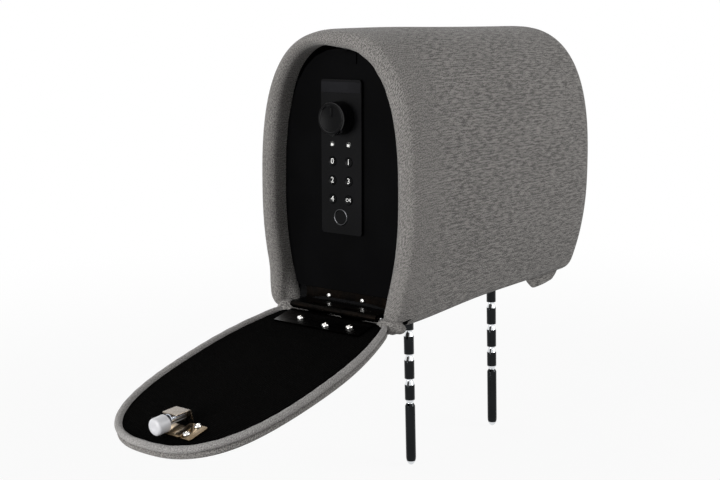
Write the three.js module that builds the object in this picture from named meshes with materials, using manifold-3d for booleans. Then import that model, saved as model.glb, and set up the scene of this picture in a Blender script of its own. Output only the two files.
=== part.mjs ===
// Portable car safe built into a headrest, in millimetres, with Z up.
// X runs along the headrest: the padded lid closes its end at -X, and -Y is a broad face.
// The origin lies midway between the two posts, in the plane of the underside.
// The lid stands open and the drawer is in.
import * as THREE from 'three';
import { mergeVertices } from 'three/addons/utils/BufferGeometryUtils.js';
import Module from 'manifold-3d';

const wasm = await Module();
wasm.setup();

// Gap between pieces that rest on each other, and the running clearance of turning pieces
const GAP = 0.3;
const RUN = 0.2;

// Padded body
const BODY_LENGTH = 358;
const BODY_DEPTH = 183;
const BOTTOM_DEPTH = 143;
const BODY_HEIGHT = 261;
const SHOULDER_HEIGHT = 109;
const CROWN_POWER = 2.66;
const FLANK_POWER = 2.22;
const BOTTOM_CORNER = 11;
const LEAST_CORNER = 4;
const END_ROUND = 32;
const SKIN = 2.5;

// Mouth of the body, which the lid closes
const MOUTH_INSET = 12;
const MOUTH_BACK_INSET = 17;
const MOUTH_STRAIGHT = 24;
const MOUTH_DEPTH = 35;

// Steel safe box and the drawer's front
const SHELL_WALL = 2;
const BACK_PADDING = 35;
const FRONT_THICKNESS = 3;
const FRONT_CLEARANCE = 0.7;
const LUG_THICKNESS = 4;
const LUG_HEIGHT = 18;
const LUG_REACH = 56;

// Posts, their plate and their bolts
const POST_SPACING = 151.8;
const POST_OFFSET = 22.1;
const POST_DIAMETER = 10;
const POST_RAKE = 0.0295;
const POST_DROP = 166.4;
const POST_TIP_LENGTH = 8.4;
const NOTCH_DEPTH = 1.7;
const NOTCH_STEP = 2.6;
const NOTCH_NECK = 2.3;
const NOTCH_CONE = 4;
const NOTCH_ROUND = 0.1;
const LAST_NECK = 0.8;
const LAST_CONE = 2.8;
const NOTCH_DROPS = [31.6, 55.8, 80.5, 102.4];
const POST_FLANGE_DIAMETER = 22;
const POST_FLANGE_THICKNESS = 2.6;
const POST_FLANGE_PLAY = 0.7;
const POST_BORE_DIAMETER = 6.8;
const POST_BORE_DEPTH = 18.8;
const POST_HOLE_PLAY = 0.4;
const BOLT_DIAMETER = 6;
const BOLT_HEAD_DIAMETER = 11;
const BOLT_HEAD_HEIGHT = 4.8;
const BOLT_REACH = 16.8;
const PLATE_LENGTH = 192;
const PLATE_WIDTH = 40;
const PLATE_THICKNESS = 4;

// Lid hinge
const HINGE_INSET = 16.7;
const HINGE_HEIGHT = 2.9;
const HINGE_WIDTH = 100;
const KNUCKLE_COUNT = 5;
const KNUCKLE_DIAMETER = 7.2;
const PIN_DIAMETER = 3.6;
const LEAF_THICKNESS = 1.8;
const BODY_SCREW_HEIGHT = 11;
const BODY_SCREW_SHIFT = 2;
const BODY_SCREW_SPREAD = 20;
const BODY_SCREW_DIAMETER = 3;
const BODY_SCREW_HEAD = 5;
const LID_DROOP = THREE.MathUtils.degToRad(13.7);

// Padded lid, measured in its closed place
const LID_FACE = 5;
const LID_CLEARANCE = 1.2;
const LID_LOW = 1.5;
const LID_CORNER = 16;
const LID_ROLL_RADIUS = 3.2;
const LID_ROLL_BACK = 1.7;
const LID_CROWN_HEIGHT = 15;
const LID_CROWN = [[0.06, 0.004], [0.35, 0.017], [0.64, 0.093], [0.87, 0.29], [0.97, 0.635], [1, 0.995]];
const LINER_THICKNESS = 1.2;
const BOARD_THICKNESS = 3;
const LID_FOAM_THICKNESS = 5.7;
const LID_LEAF_LENGTH = 25.6;
const LID_SCREW_HEAD = 6.8;
const LID_SCREW_DIAMETER = 4;
const LID_SCREWS = [[26, 21.6], [-7.6, 26.5], [-32, 22]];

// Lid latch, measured in its closed place
const LATCH_Y = -5;
const LATCH_WIDTH = 15;
const LATCH_DROP = 56;
const LATCH_LENGTH = 19.5;
const LATCH_LOW_SIDE = 12;
const LATCH_HIGH_SIDE = 18.3;
const LATCH_SHEET = 1.5;
const LATCH_BASE_WIDTH = 18;
const LATCH_BASE_LENGTH = 24;
const LATCH_SCREW_PITCH = 13;
const PLUNGER_DROP = 28.5;
const PLUNGER_LIFT = 10.5;
const PLUNGER_DIAMETER = 17;
const PLUNGER_LENGTH = 12.8;
const PLUNGER_NOSE = 8.5;
const PLUNGER_TILT = THREE.MathUtils.degToRad(10);
const STEM_DIAMETER = 6;
const STEM_LENGTH = 26.5;
const KEEPER_WIDTH = 16;
const KEEPER_SHEET = 1.3;
const KEEPER_HEIGHT = 13.4;
const KEEPER_REACH = 13.4;
const KEEPER_DROP = 0.4;

// Drawer and its rails
const TRAY_BACK_ROOM = 30;
const TRAY_LIFT = 10.2;
const TRAY_HEIGHT = 68;
const TRAY_WALL = 1.2;
const MAT_THICKNESS = 5;
const RAIL_SHEET = 1.5;
const RAIL_HEIGHT = 25.4;
const RAIL_LIFT = 16.5;
const RAIL_SIDE_ROOM = 4.8;
const RAIL_FRONT_GAP = 2.7;
const RAIL_FOOT = 12;
const SLIDE_WEB = 3;
const SLIDE_WEB_HEIGHT = 14;
const SLIDE_TONGUE = 4.4;

// Lock panel, placed on the drawer's front
const PANEL_Y = 3.1;
const PANEL_SHARE = 0.478;
const PANEL_WIDTH = 46.9;
const PANEL_HEIGHT = 142.5;
const PANEL_ROUND = 3;
const PANEL_THICKNESS = 2.9;
const CASE_WIDTH = 41;
const CASE_HEIGHT = 132;
const CASE_DEPTH = 18;
const CASE_WALL = 1.8;
const CASE_FACE = 4.4;
const STRIP_RISE = 64.3;
const STRIP_WIDTH = 45.6;
const STRIP_HEIGHT = 9.8;
const STRIP_THICKNESS = 0.8;
const LIGHT_RISE = 12.2;
const LIGHT_DIAMETER = 6;
const KEY_TOP_RISE = -4;
const KEY_ROW_PITCH = 17.5;
const KEY_COLUMN_PITCH = 18.9;
const KEY_SHIFT = 0.95;
const KEY_DIAMETER = 9;
const KEY_FLANGE_DIAMETER = 11.2;
const KEY_FLANGE_THICKNESS = 1.3;
const KEY_PROUD = 0.7;
const KEY_TRAVEL = 1;
const KEY_STEM_DIAMETER = 4;
const SENSOR_RISE = -55.5;
const SENSOR_SHIFT = 0.9;
const SENSOR_DIAMETER = 12;
const RING_DIAMETER = 16;
const RING_DEPTH = 4;
const BOARD_DEPTH = 10;
const CIRCUIT_THICKNESS = 1.6;

// Knob, spindle, cam and bolt
const KNOB_RISE = 36.4;
const KNOB_DIAMETER = 31;
const KNOB_LENGTH = 15.5;
const KNOB_DISH = 1.2;
const KNOB_RIM = 2.2;
const SPINDLE_DIAMETER = 7.8;
const SPINDLE_SINK = 5;
const CAM_DIAMETER = 24;
const CAM_THICKNESS = 4;
const CAM_GAP = 1.4;
const CRANK_RADIUS = 8;
const CRANK_DIAMETER = 5;
const CAM_NOTCH = 5;
const CAM_NOTCH_DEPTH = 3.5;
const BOLT_BAR_THICKNESS = 4;
const BOLT_BAR_HEIGHT = 21;
const BOLT_BAR_RISE = 3.5;
const BOLT_NOSE_HEIGHT = 12;
const BOLT_BAR_TAIL = 38;
const BOLT_NOSE_PLAY = 3.3;
const BOLT_GAP = 0.7;
const GUIDE_SHEET = 1.5;
const GUIDE_LEFT = 36;
const GUIDE_RIGHT = -45;
const GUIDE_LEG = 9;
const SOLENOID_WIDTH = 16;
const SOLENOID_HEIGHT = 24;
const SOLENOID_DEPTH = 12;
const SOLENOID_EAR_DROP = 6;
const SOLENOID_EAR_HEIGHT = 10;
const SOLENOID_HEAD_ROOM = 3;
const LOCK_PIN_DIAMETER = 3.2;
const LOCK_PIN_LENGTH = 17;
const LOCK_PIN_PLAY = 1.5;

// Batteries
const CELL_DIAMETER = 14.2;
const CELL_LENGTH = 50.5;
const CELL_PITCH = 15.1;
const BATTERY_WALL = 1.5;
const BATTERY_WIDTH = 60;
const BATTERY_DEPTH = 33;
const BATTERY_HEIGHT = 33;
const BATTERY_LIFT = 2;

// Small flap of cover cloth under the far end
const FLAP_START = 80;
const FLAP_END = 146;
const FLAP_DROP = 12;
const FLAP_THICKNESS = 2.5;
const FLAP_Y = -62.8;

// Places worked out from the sizes above, measured from the middle of the body
const NEAR_END = -BODY_LENGTH / 2;
const FRONT_FACE = NEAR_END + MOUTH_DEPTH;
const FRONT_BACK = FRONT_FACE + FRONT_THICKNESS;
const SHELL_FRONT = FRONT_BACK + GAP;
const SHELL_BACK = BODY_LENGTH / 2 - BACK_PADDING;
const SHELL_INSET = MOUTH_BACK_INSET + GAP;
const SHELL_INNER = SHELL_INSET + SHELL_WALL;
const FRONT_INSET = MOUTH_BACK_INSET + FRONT_CLEARANCE;
const HINGE_X = NEAR_END + HINGE_INSET;
const PLATE_TOP = SHELL_INSET - GAP;
const PLATE_BOTTOM = PLATE_TOP - PLATE_THICKNESS;
const FLANGE_TOP = PLATE_BOTTOM - POST_FLANGE_PLAY;
const FLANGE_BOTTOM = FLANGE_TOP - POST_FLANGE_THICKNESS;
const POST_X = [-POST_SPACING / 2, POST_SPACING / 2];
const LINER_X = HINGE_X - LID_FACE;
const LATCH_BOTTOM = BODY_HEIGHT - LATCH_DROP;
const PLUNGER_Z = BODY_HEIGHT - PLUNGER_DROP;
const TRAY_BOTTOM = SHELL_INNER + TRAY_LIFT;
const TRAY_BACK = SHELL_BACK - SHELL_WALL - TRAY_BACK_ROOM;
const RAIL_OUTSIDE = flankAt(SHELL_INNER + GAP, SHELL_INNER) - RAIL_SIDE_ROOM;
const CHANNEL_INSIDE = RAIL_OUTSIDE - RAIL_SHEET;
const TRAY_HALF = CHANNEL_INSIDE - GAP - SLIDE_TONGUE - SLIDE_WEB - GAP;
const BATTERY_BOTTOM = TRAY_BOTTOM + TRAY_WALL + BATTERY_LIFT;
const BATTERY_TOP = BATTERY_BOTTOM + BATTERY_HEIGHT;
const KEEPER_TOP = BODY_HEIGHT - FRONT_INSET - KEEPER_DROP;
const KEEPER_BOTTOM = KEEPER_TOP - KEEPER_HEIGHT;
const PANEL_Z = BATTERY_TOP + PANEL_SHARE * (KEEPER_BOTTOM - BATTERY_TOP);
const PANEL_FRONT = FRONT_FACE - GAP - PANEL_THICKNESS;
const CASE_INSIDE = PANEL_FRONT + CASE_FACE;
const CASE_BACK = FRONT_FACE + CASE_DEPTH;
const KNOB_Z = PANEL_Z + KNOB_RISE;
const KNOB_BACK = PANEL_FRONT - GAP - 0.1;
const CAM_FRONT = CASE_BACK + CAM_GAP;
const CAM_BACK = CAM_FRONT + CAM_THICKNESS;
const BAR_FRONT = CAM_BACK + BOLT_GAP;
const BAR_BACK = BAR_FRONT + BOLT_BAR_THICKNESS;
const CIRCUIT_FRONT = FRONT_FACE + BOARD_DEPTH;

// Counts of steps round the curves
const ROUND_SIDES = 24;
const SMALL_SIDES = 16;
const CORNER_STEPS = 3;
const FLANK_STEPS = 6;
const CROWN_STEPS = 8;
const END_STEPS = 5;

// Cuts run this far past the faces that they open
const PAST = 1;
// Bottom of a cut that goes right through the underside
const BELOW = -8;

const FABRIC = { color: 0x65625f, roughness: 0.95, metalness: 0 };
const LINER_CLOTH = { color: 0x151516, roughness: 1, metalness: 0 };
const FOAM = { color: 0x3a3a3a, roughness: 1, metalness: 0 };
const BLACK_STEEL = { color: 0x0d0d0e, roughness: 0.45, metalness: 0.4 };
const BLACK_PLASTIC = { color: 0x101011, roughness: 0.4, metalness: 0 };
const GLOSS_BLACK = { color: 0x08080a, roughness: 0.08, metalness: 0 };
const CHROME = { color: 0xb8b9bd, roughness: 0.12, metalness: 1 };
const NICKEL = { color: 0xb3ab9c, roughness: 0.3, metalness: 1 };
const STEEL = { color: 0x9a9ca0, roughness: 0.4, metalness: 1 };
const WHITE_NYLON = { color: 0xf2f2ee, roughness: 0.4, metalness: 0 };
const CIRCUIT_GREEN = { color: 0x1d5a34, roughness: 0.5, metalness: 0 };
const LIGHT_LENS = { color: 0xc8ccd0, roughness: 0.2, metalness: 0 };

// A closed geometry as a solid that can be joined and cut
function solid(geometry) {
  const bare = geometry.clone();
  for (const name of Object.keys(bare.attributes)) {
    if (name !== 'position') bare.deleteAttribute(name);
  }
  const merged = mergeVertices(bare);
  const places = merged.attributes.position;
  const corners = merged.index.array;
  const kept = [];
  let volume = 0;
  const [a, b, c] = [new THREE.Vector3(), new THREE.Vector3(), new THREE.Vector3()];
  for (let i = 0; i < corners.length; i += 3) {
    const [p, q, r] = [corners[i], corners[i + 1], corners[i + 2]];
    if (p === q || q === r || r === p) continue;
    kept.push([p, q, r]);
    a.fromBufferAttribute(places, p);
    b.fromBufferAttribute(places, q);
    c.fromBufferAttribute(places, r);
    volume += a.dot(b.cross(c));
  }
  const facing = volume > 0 ? kept : kept.map(([p, q, r]) => [p, r, q]);
  return new wasm.Manifold(new wasm.Mesh({
    numProp: 3,
    vertProperties: new Float32Array(places.array),
    triVerts: new Uint32Array(facing.flat()),
  }));
}

const join = (first, ...others) => others.reduce((whole, piece) => whole.add(piece), first);
const cut = (first, ...tools) => tools.reduce((rest, tool) => rest.subtract(tool), first);

// A solid as a named mesh in its group
function place(parent, name, shape, finish) {
  const { vertProperties, triVerts } = shape.getMesh();
  const geometry = new THREE.BufferGeometry();
  geometry.setAttribute('position', new THREE.BufferAttribute(new Float32Array(vertProperties), 3));
  geometry.setIndex(Array.from(triVerts));
  geometry.computeVertexNormals();
  const mesh = new THREE.Mesh(geometry, new THREE.MeshStandardMaterial(finish));
  mesh.name = name;
  parent.add(mesh);
}

function block([x0, x1], [y0, y1], [z0, z1]) {
  const geometry = new THREE.BoxGeometry(x1 - x0, y1 - y0, z1 - z0);
  geometry.translate((x0 + x1) / 2, (y0 + y1) / 2, (z0 + z1) / 2);
  return solid(geometry);
}

// Round rods along X, Y and Z between two ends
function rodGeometry(diameter, length, sides) {
  return new THREE.CylinderGeometry(diameter / 2, diameter / 2, length, sides);
}

function rodX(diameter, [x0, x1], y, z, sides = SMALL_SIDES) {
  const geometry = rodGeometry(diameter, x1 - x0, sides);
  geometry.rotateZ(-Math.PI / 2);
  geometry.translate((x0 + x1) / 2, y, z);
  return solid(geometry);
}

function rodY(diameter, [y0, y1], x, z, sides = SMALL_SIDES) {
  const geometry = rodGeometry(diameter, y1 - y0, sides);
  geometry.translate(x, (y0 + y1) / 2, z);
  return solid(geometry);
}

function rodZ(diameter, [z0, z1], x, y, sides = SMALL_SIDES) {
  const geometry = rodGeometry(diameter, z1 - z0, sides);
  geometry.rotateX(Math.PI / 2);
  geometry.translate(x, y, (z0 + z1) / 2);
  return solid(geometry);
}

// A profile of [radius, height] points turned round Z
function turned(profile, sides = ROUND_SIDES) {
  const geometry = new THREE.LatheGeometry(profile.map(([r, h]) => new THREE.Vector2(r, h)), sides);
  geometry.rotateX(Math.PI / 2);
  return solid(geometry);
}

// Half breadth of the padded form at a height below its shoulders, drawn in by an inset
function flankAt(z, inset) {
  const share = (SHOULDER_HEIGHT - z) / SHOULDER_HEIGHT;
  return BODY_DEPTH / 2 - inset - (BODY_DEPTH - BOTTOM_DEPTH) / 2 * share ** FLANK_POWER;
}

// Cross-section of the padded form as [y, z] points, drawn in by an inset, with its bottom at low
function outline(inset, low = inset, corner = Math.max(BOTTOM_CORNER - inset, LEAST_CORNER)) {
  const side = [];
  const lean = Math.atan(flankAt(low + corner, inset) - flankAt(low + corner - 1, inset));
  const tangentZ = low + corner * (1 - Math.sin(lean));
  const centreY = flankAt(tangentZ, inset) - corner * Math.cos(lean);
  for (let step = 0; step <= CORNER_STEPS; step += 1) {
    const turn = Math.PI / 2 + (lean - Math.PI / 2) * step / CORNER_STEPS;
    side.push([centreY + corner * Math.cos(turn), low + corner * (1 - Math.sin(turn))]);
  }
  for (let step = 1; step < FLANK_STEPS; step += 1) {
    const z = tangentZ + (SHOULDER_HEIGHT - tangentZ) * step / FLANK_STEPS;
    side.push([flankAt(z, inset), z]);
  }
  const rise = BODY_HEIGHT - inset - SHOULDER_HEIGHT;
  for (let step = 0; step < CROWN_STEPS; step += 1) {
    const turn = Math.PI / 2 * step / CROWN_STEPS;
    const y = (BODY_DEPTH / 2 - inset) * Math.cos(turn) ** (2 / CROWN_POWER);
    side.push([y, SHOULDER_HEIGHT + rise * Math.sin(turn) ** (2 / CROWN_POWER)]);
  }
  const mirrored = side.map(([y, z]) => [-y, z]).reverse();
  return [...side, [0, BODY_HEIGHT - inset], ...mirrored];
}

const ring = (x, ...shape) => outline(...shape).map(([y, z]) => new THREE.Vector3(x, y, z));

// A solid through rings of equal count, closed by a fan at each end
function loft(rings) {
  const count = rings[0].length;
  const points = rings.flat();
  const faces = [];
  for (let level = 0; level + 1 < rings.length; level += 1) {
    for (let i = 0; i < count; i += 1) {
      const here = level * count + i;
      const next = level * count + (i + 1) % count;
      faces.push(here, next, next + count, here, next + count, here + count);
    }
  }
  for (const [level, outward] of [[0, true], [rings.length - 1, false]]) {
    const middle = new THREE.Vector3();
    rings[level].forEach((point) => middle.addScaledVector(point, 1 / count));
    const centre = points.push(middle) - 1;
    for (let i = 0; i < count; i += 1) {
      const here = level * count + i;
      const next = level * count + (i + 1) % count;
      faces.push(...(outward ? [centre, next, here] : [centre, here, next]));
    }
  }
  const geometry = new THREE.BufferGeometry().setFromPoints(points);
  geometry.setIndex(faces);
  return solid(geometry);
}

const prism = ([x0, x1], ...shape) => loft([ring(x0, ...shape), ring(x1, ...shape)]);

// The whole padded form with rounded ends, drawn in all round
function paddedForm(inset) {
  const half = BODY_LENGTH / 2 - inset;
  const end = [];
  for (let step = 0; step <= END_STEPS; step += 1) {
    const turn = Math.PI / 2 * (1 - step / END_STEPS);
    const x = half - END_ROUND * (1 - Math.sin(turn));
    end.push([x, inset + END_ROUND * (1 - Math.cos(turn))]);
  }
  const near = end.map(([x, drawn]) => ring(-x, drawn));
  const far = end.map(([x, drawn]) => ring(x, drawn)).reverse();
  return loft([...near, ...far]);
}

// The room behind the lid, grown outward by a skin, open to the end and through the underside
function mouthRoom(skin, back) {
  return loft([
    ring(NEAR_END - PAST, MOUTH_INSET - skin, BELOW),
    ring(NEAR_END + MOUTH_STRAIGHT, MOUTH_INSET - skin, BELOW),
    ring(FRONT_FACE, MOUTH_BACK_INSET - skin, BELOW),
    ring(back, MOUTH_BACK_INSET - skin, BELOW),
  ]);
}

// Post holes along the raked axes, for a given diameter and height range
function postHoles(diameter, [z0, z1]) {
  return POST_X.map((x) => {
    const geometry = rodGeometry(diameter, z1 - z0, SMALL_SIDES);
    geometry.rotateX(Math.PI / 2);
    geometry.translate(0, 0, (z0 + z1) / 2);
    geometry.rotateX(-POST_RAKE);
    geometry.translate(x, -POST_OFFSET, 0);
    return solid(geometry);
  });
}

const postHoleDiameter = POST_DIAMETER + 2 * POST_HOLE_PLAY;
const boltHoleDiameter = BOLT_DIAMETER + 2 * (POST_HOLE_PLAY + GAP) + BOLT_REACH * POST_RAKE;
const lipRange = [SHELL_FRONT, SHELL_FRONT + SHELL_WALL];
const leafHalf = HINGE_WIDTH / 2;
const leafTop = HINGE_HEIGHT + KNUCKLE_DIAMETER / 2;
const leafBottom = leafTop - LEAF_THICKNESS;
const lipBottom = leafBottom - RUN;
const screwYs = [BODY_SCREW_SHIFT + BODY_SCREW_SPREAD, BODY_SCREW_SHIFT - BODY_SCREW_SPREAD];

const safe = new THREE.Group();
const body = new THREE.Group();
body.position.y = POST_OFFSET;
safe.add(body);

function addCover() {
  const inner = cut(paddedForm(SKIN), mouthRoom(SKIN, FRONT_BACK));
  const mouth = mouthRoom(0, FRONT_FACE);
  const behindMouth = prism([FRONT_FACE - PAST, FRONT_BACK + PAST], MOUTH_BACK_INSET);
  const hingeRoom = block(
    [FRONT_FACE - PAST, FRONT_BACK],
    [-leafHalf - PAST, leafHalf + PAST],
    [BELOW, SHELL_INNER],
  );
  const holes = postHoles(postHoleDiameter, [-PAST, SKIN + PAST]);
  place(body, 'fabric_cover', cut(paddedForm(0), mouth, behindMouth, inner, hingeRoom, ...holes), FABRIC);
}

function addFoam() {
  const cavity = prism([FRONT_BACK, SHELL_BACK + GAP], MOUTH_BACK_INSET);
  const lipRoom = block(
    [FRONT_BACK, SHELL_FRONT + SHELL_WALL + GAP],
    [-leafHalf - PAST, leafHalf + PAST],
    [lipBottom - GAP, SHELL_INNER],
  );
  const pocket = block(
    [-PLATE_LENGTH / 2 - GAP, PLATE_LENGTH / 2 + GAP],
    [-POST_OFFSET - PLATE_WIDTH / 2 - GAP, -POST_OFFSET + PLATE_WIDTH / 2 + GAP],
    [FLANGE_BOTTOM - GAP - POST_RAKE * POST_FLANGE_DIAMETER / 2, MOUTH_BACK_INSET + PAST],
  );
  const holes = postHoles(postHoleDiameter, [0, FLANGE_BOTTOM]);
  const form = cut(paddedForm(SKIN + GAP), mouthRoom(SKIN + GAP, SHELL_FRONT));
  place(body, 'foam_core', cut(form, cavity, lipRoom, pocket, ...holes), FOAM);
}

function addShell() {
  const box = cut(
    prism([SHELL_FRONT, SHELL_BACK], SHELL_INSET),
    prism([SHELL_FRONT - PAST, SHELL_BACK - SHELL_WALL], SHELL_INNER),
  );
  const lip = block(lipRange, [-leafHalf, leafHalf], [lipBottom, SHELL_INSET + SHELL_WALL / 2]);
  const lugBack = BAR_FRONT - GAP;
  const lugBlock = block(
    [lugBack - LUG_THICKNESS, lugBack],
    [-BODY_DEPTH / 2, -LUG_REACH],
    [KNOB_Z - LUG_HEIGHT / 2, KNOB_Z + LUG_HEIGHT / 2],
  );
  const wallMiddle = SHELL_INSET + SHELL_WALL / 2;
  const lug = lugBlock.intersect(prism([lugBack - 2 * LUG_THICKNESS, lugBack + PAST], wallMiddle));
  const screwHoles = screwYs.map((y) => rodX(
    BODY_SCREW_DIAMETER + 2 * GAP, [SHELL_FRONT - PAST, SHELL_FRONT + SHELL_WALL + PAST], y, BODY_SCREW_HEIGHT,
  ));
  const boltHoles = postHoles(boltHoleDiameter, [SHELL_INSET - PAST, SHELL_INNER + PAST]);
  place(body, 'safe_shell', cut(join(box, lip, lug), ...screwHoles, ...boltHoles), BLACK_STEEL);
}

function addPosts() {
  const plate = block(
    [-PLATE_LENGTH / 2, PLATE_LENGTH / 2],
    [-POST_OFFSET - PLATE_WIDTH / 2, -POST_OFFSET + PLATE_WIDTH / 2],
    [PLATE_BOTTOM, PLATE_TOP],
  );
  const holes = postHoles(boltHoleDiameter, [PLATE_BOTTOM - PAST, PLATE_TOP + PAST]);
  place(body, 'post_plate', cut(plate, ...holes), STEEL);

  const radius = POST_DIAMETER / 2;
  const neck = radius - NOTCH_DEPTH;
  const bore = POST_BORE_DIAMETER / 2;
  const flange = POST_FLANGE_DIAMETER / 2;
  const notches = NOTCH_DROPS.flatMap((drop, index) => {
    if (index === NOTCH_DROPS.length - 1) {
      const half = LAST_NECK / 2;
      return [
        [radius, -drop + half + LAST_CONE],
        [neck, -drop + half],
        [neck, -drop - half],
        [radius, -drop - half - LAST_CONE],
      ];
    }
    const step = -drop + NOTCH_STEP;
    return [
      [radius, step],
      [neck, step - NOTCH_ROUND],
      [neck, step - NOTCH_NECK],
      [radius, step - NOTCH_NECK - NOTCH_CONE],
    ];
  });
  const tip = [90, 60, 30].map((degrees) => {
    const turn = THREE.MathUtils.degToRad(degrees);
    return [radius * Math.sin(turn), -POST_DROP + POST_TIP_LENGTH * (1 - Math.cos(turn))];
  });
  const profile = [
    [0, FLANGE_TOP - POST_BORE_DEPTH],
    [bore, FLANGE_TOP - POST_BORE_DEPTH],
    [bore, FLANGE_TOP],
    [flange, FLANGE_TOP],
    [flange, FLANGE_BOTTOM],
    [radius, FLANGE_BOTTOM],
    ...notches,
    ...tip,
    [0, -POST_DROP],
  ];
  const headBottom = SHELL_INNER + POST_HOLE_PLAY;
  const boltProfile = [
    [0, FLANGE_TOP - BOLT_REACH],
    [BOLT_DIAMETER / 2, FLANGE_TOP - BOLT_REACH],
    [BOLT_DIAMETER / 2, headBottom],
    [BOLT_HEAD_DIAMETER / 2, headBottom],
    [BOLT_HEAD_DIAMETER / 2, headBottom + BOLT_HEAD_HEIGHT],
    [0, headBottom + BOLT_HEAD_HEIGHT],
  ];
  for (const [index, label] of [[0, 'near'], [1, 'far']]) {
    const raked = new THREE.Group();
    raked.position.set(POST_X[index], -POST_OFFSET, 0);
    raked.rotation.x = -POST_RAKE;
    body.add(raked);
    place(raked, `post_${label}`, turned(profile, SMALL_SIDES + 4), CHROME);
    place(raked, `post_bolt_${label}`, turned(boltProfile, SMALL_SIDES), STEEL);
  }
}

// Knuckles share the hinge's width; the body holds the even ones and the lid the odd ones
function knuckleRange(index) {
  const pitch = HINGE_WIDTH / KNUCKLE_COUNT;
  const start = -leafHalf + index * pitch;
  const first = index === 0 ? 0 : RUN / 2;
  const last = index === KNUCKLE_COUNT - 1 ? 0 : RUN / 2;
  return [start + first, start + pitch - last];
}

const knucklesOf = (parity) => [...Array(KNUCKLE_COUNT).keys()].filter((index) => index % 2 === parity);

function addBodyHinge() {
  const flangeBack = SHELL_FRONT - GAP;
  const flangeFront = flangeBack - LEAF_THICKNESS;
  const flangeTop = FRONT_INSET - 2 * GAP;
  const leafStart = HINGE_X + KNUCKLE_DIAMETER / 2 + GAP;
  let leaf = join(
    block([leafStart, flangeBack], [-leafHalf, leafHalf], [leafBottom, leafTop]),
    block([flangeFront, flangeBack], [-leafHalf, leafHalf], [leafBottom, flangeTop]),
  );
  for (const index of knucklesOf(0)) {
    const range = knuckleRange(index);
    leaf = join(
      leaf,
      rodY(KNUCKLE_DIAMETER, range, HINGE_X, HINGE_HEIGHT),
      block([HINGE_X, leafStart + PAST], range, [leafBottom, leafTop]),
    );
  }
  const bore = rodY(PIN_DIAMETER + 2 * GAP, [-leafHalf - PAST, leafHalf + PAST], HINGE_X, HINGE_HEIGHT);
  const holes = screwYs.map((y) => rodX(
    BODY_SCREW_DIAMETER + 2 * GAP, [flangeFront - PAST, flangeBack + PAST], y, BODY_SCREW_HEIGHT,
  ));
  place(body, 'hinge_body_leaf', cut(leaf, bore, ...holes), STEEL);

  const headFront = flangeFront - GAP;
  const labels = ['left', 'right'];
  screwYs.forEach((y, index) => {
    const screw = join(
      rodX(BODY_SCREW_HEAD, [headFront - LEAF_THICKNESS, headFront], y, BODY_SCREW_HEIGHT),
      rodX(BODY_SCREW_DIAMETER, [headFront - LEAF_THICKNESS / 2, SHELL_FRONT + SHELL_WALL], y, BODY_SCREW_HEIGHT),
    );
    place(body, `hinge_screw_${labels[index]}`, screw, STEEL);
  });

  const pinEnd = leafHalf + GAP;
  const pin = join(
    rodY(PIN_DIAMETER, [-leafHalf - LEAF_THICKNESS, pinEnd], HINGE_X, HINGE_HEIGHT),
    rodY(PIN_DIAMETER + 2, [pinEnd, pinEnd + LEAF_THICKNESS], HINGE_X, HINGE_HEIGHT),
  );
  place(body, 'hinge_pin', pin, STEEL);
}

function addFlap() {
  const start = FLAP_START;
  const shape = new THREE.Shape([
    new THREE.Vector2(start, -GAP),
    new THREE.Vector2(start + FLAP_DROP * 1.25, -FLAP_DROP),
    new THREE.Vector2(FLAP_END - FLAP_DROP / 2, -FLAP_DROP * 0.6),
    new THREE.Vector2(FLAP_END, -GAP),
  ]);
  const geometry = new THREE.ExtrudeGeometry(shape, { depth: FLAP_THICKNESS, bevelEnabled: false });
  geometry.rotateX(Math.PI / 2);
  geometry.translate(0, FLAP_Y + FLAP_THICKNESS / 2, 0);
  place(body, 'underside_flap', solid(geometry), FABRIC);
}

// The lid is shaped in its closed place and then moved so that the hinge axis is its origin
const lid = new THREE.Group();
lid.position.set(HINGE_X, 0, HINGE_HEIGHT);
lid.rotation.y = -(Math.PI / 2 + LID_DROOP);
body.add(lid);

const LID_INSET = MOUTH_INSET + LID_CLEARANCE;

// A ring of the lid: depth is counted outward from the liner's face
function lidRing(depth, inset) {
  const low = LID_LOW + inset - LID_INSET;
  const corner = Math.max(LID_CORNER - (inset - LID_INSET), LEAST_CORNER);
  return ring(LINER_X - depth, inset, low, corner)
    .map((point) => point.sub(lid.position));
}

const lidPrism = (inset, from, to) => loft([lidRing(from, inset), lidRing(to, inset)]);
const atLid = ([x0, x1]) => [x0 - HINGE_X, x1 - HINGE_X];
const upLid = ([z0, z1]) => [z0 - HINGE_HEIGHT, z1 - HINGE_HEIGHT];

const pocketInset = LID_INSET + 1.8 * LID_ROLL_RADIUS;
const boardFront = LINER_THICKNESS + GAP;
const boardBack = boardFront + BOARD_THICKNESS;
const foamFront = boardBack + GAP;
const foamInset = pocketInset + 5;
const foamBack = foamFront + LID_FOAM_THICKNESS;
const seamDepth = LID_ROLL_BACK + 0.78 * LID_ROLL_RADIUS;

function lidScrewHoles(diameter, range) {
  return LID_SCREWS.map(([y, z]) => rodX(diameter, atLid(range), y, z - HINGE_HEIGHT));
}

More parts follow.
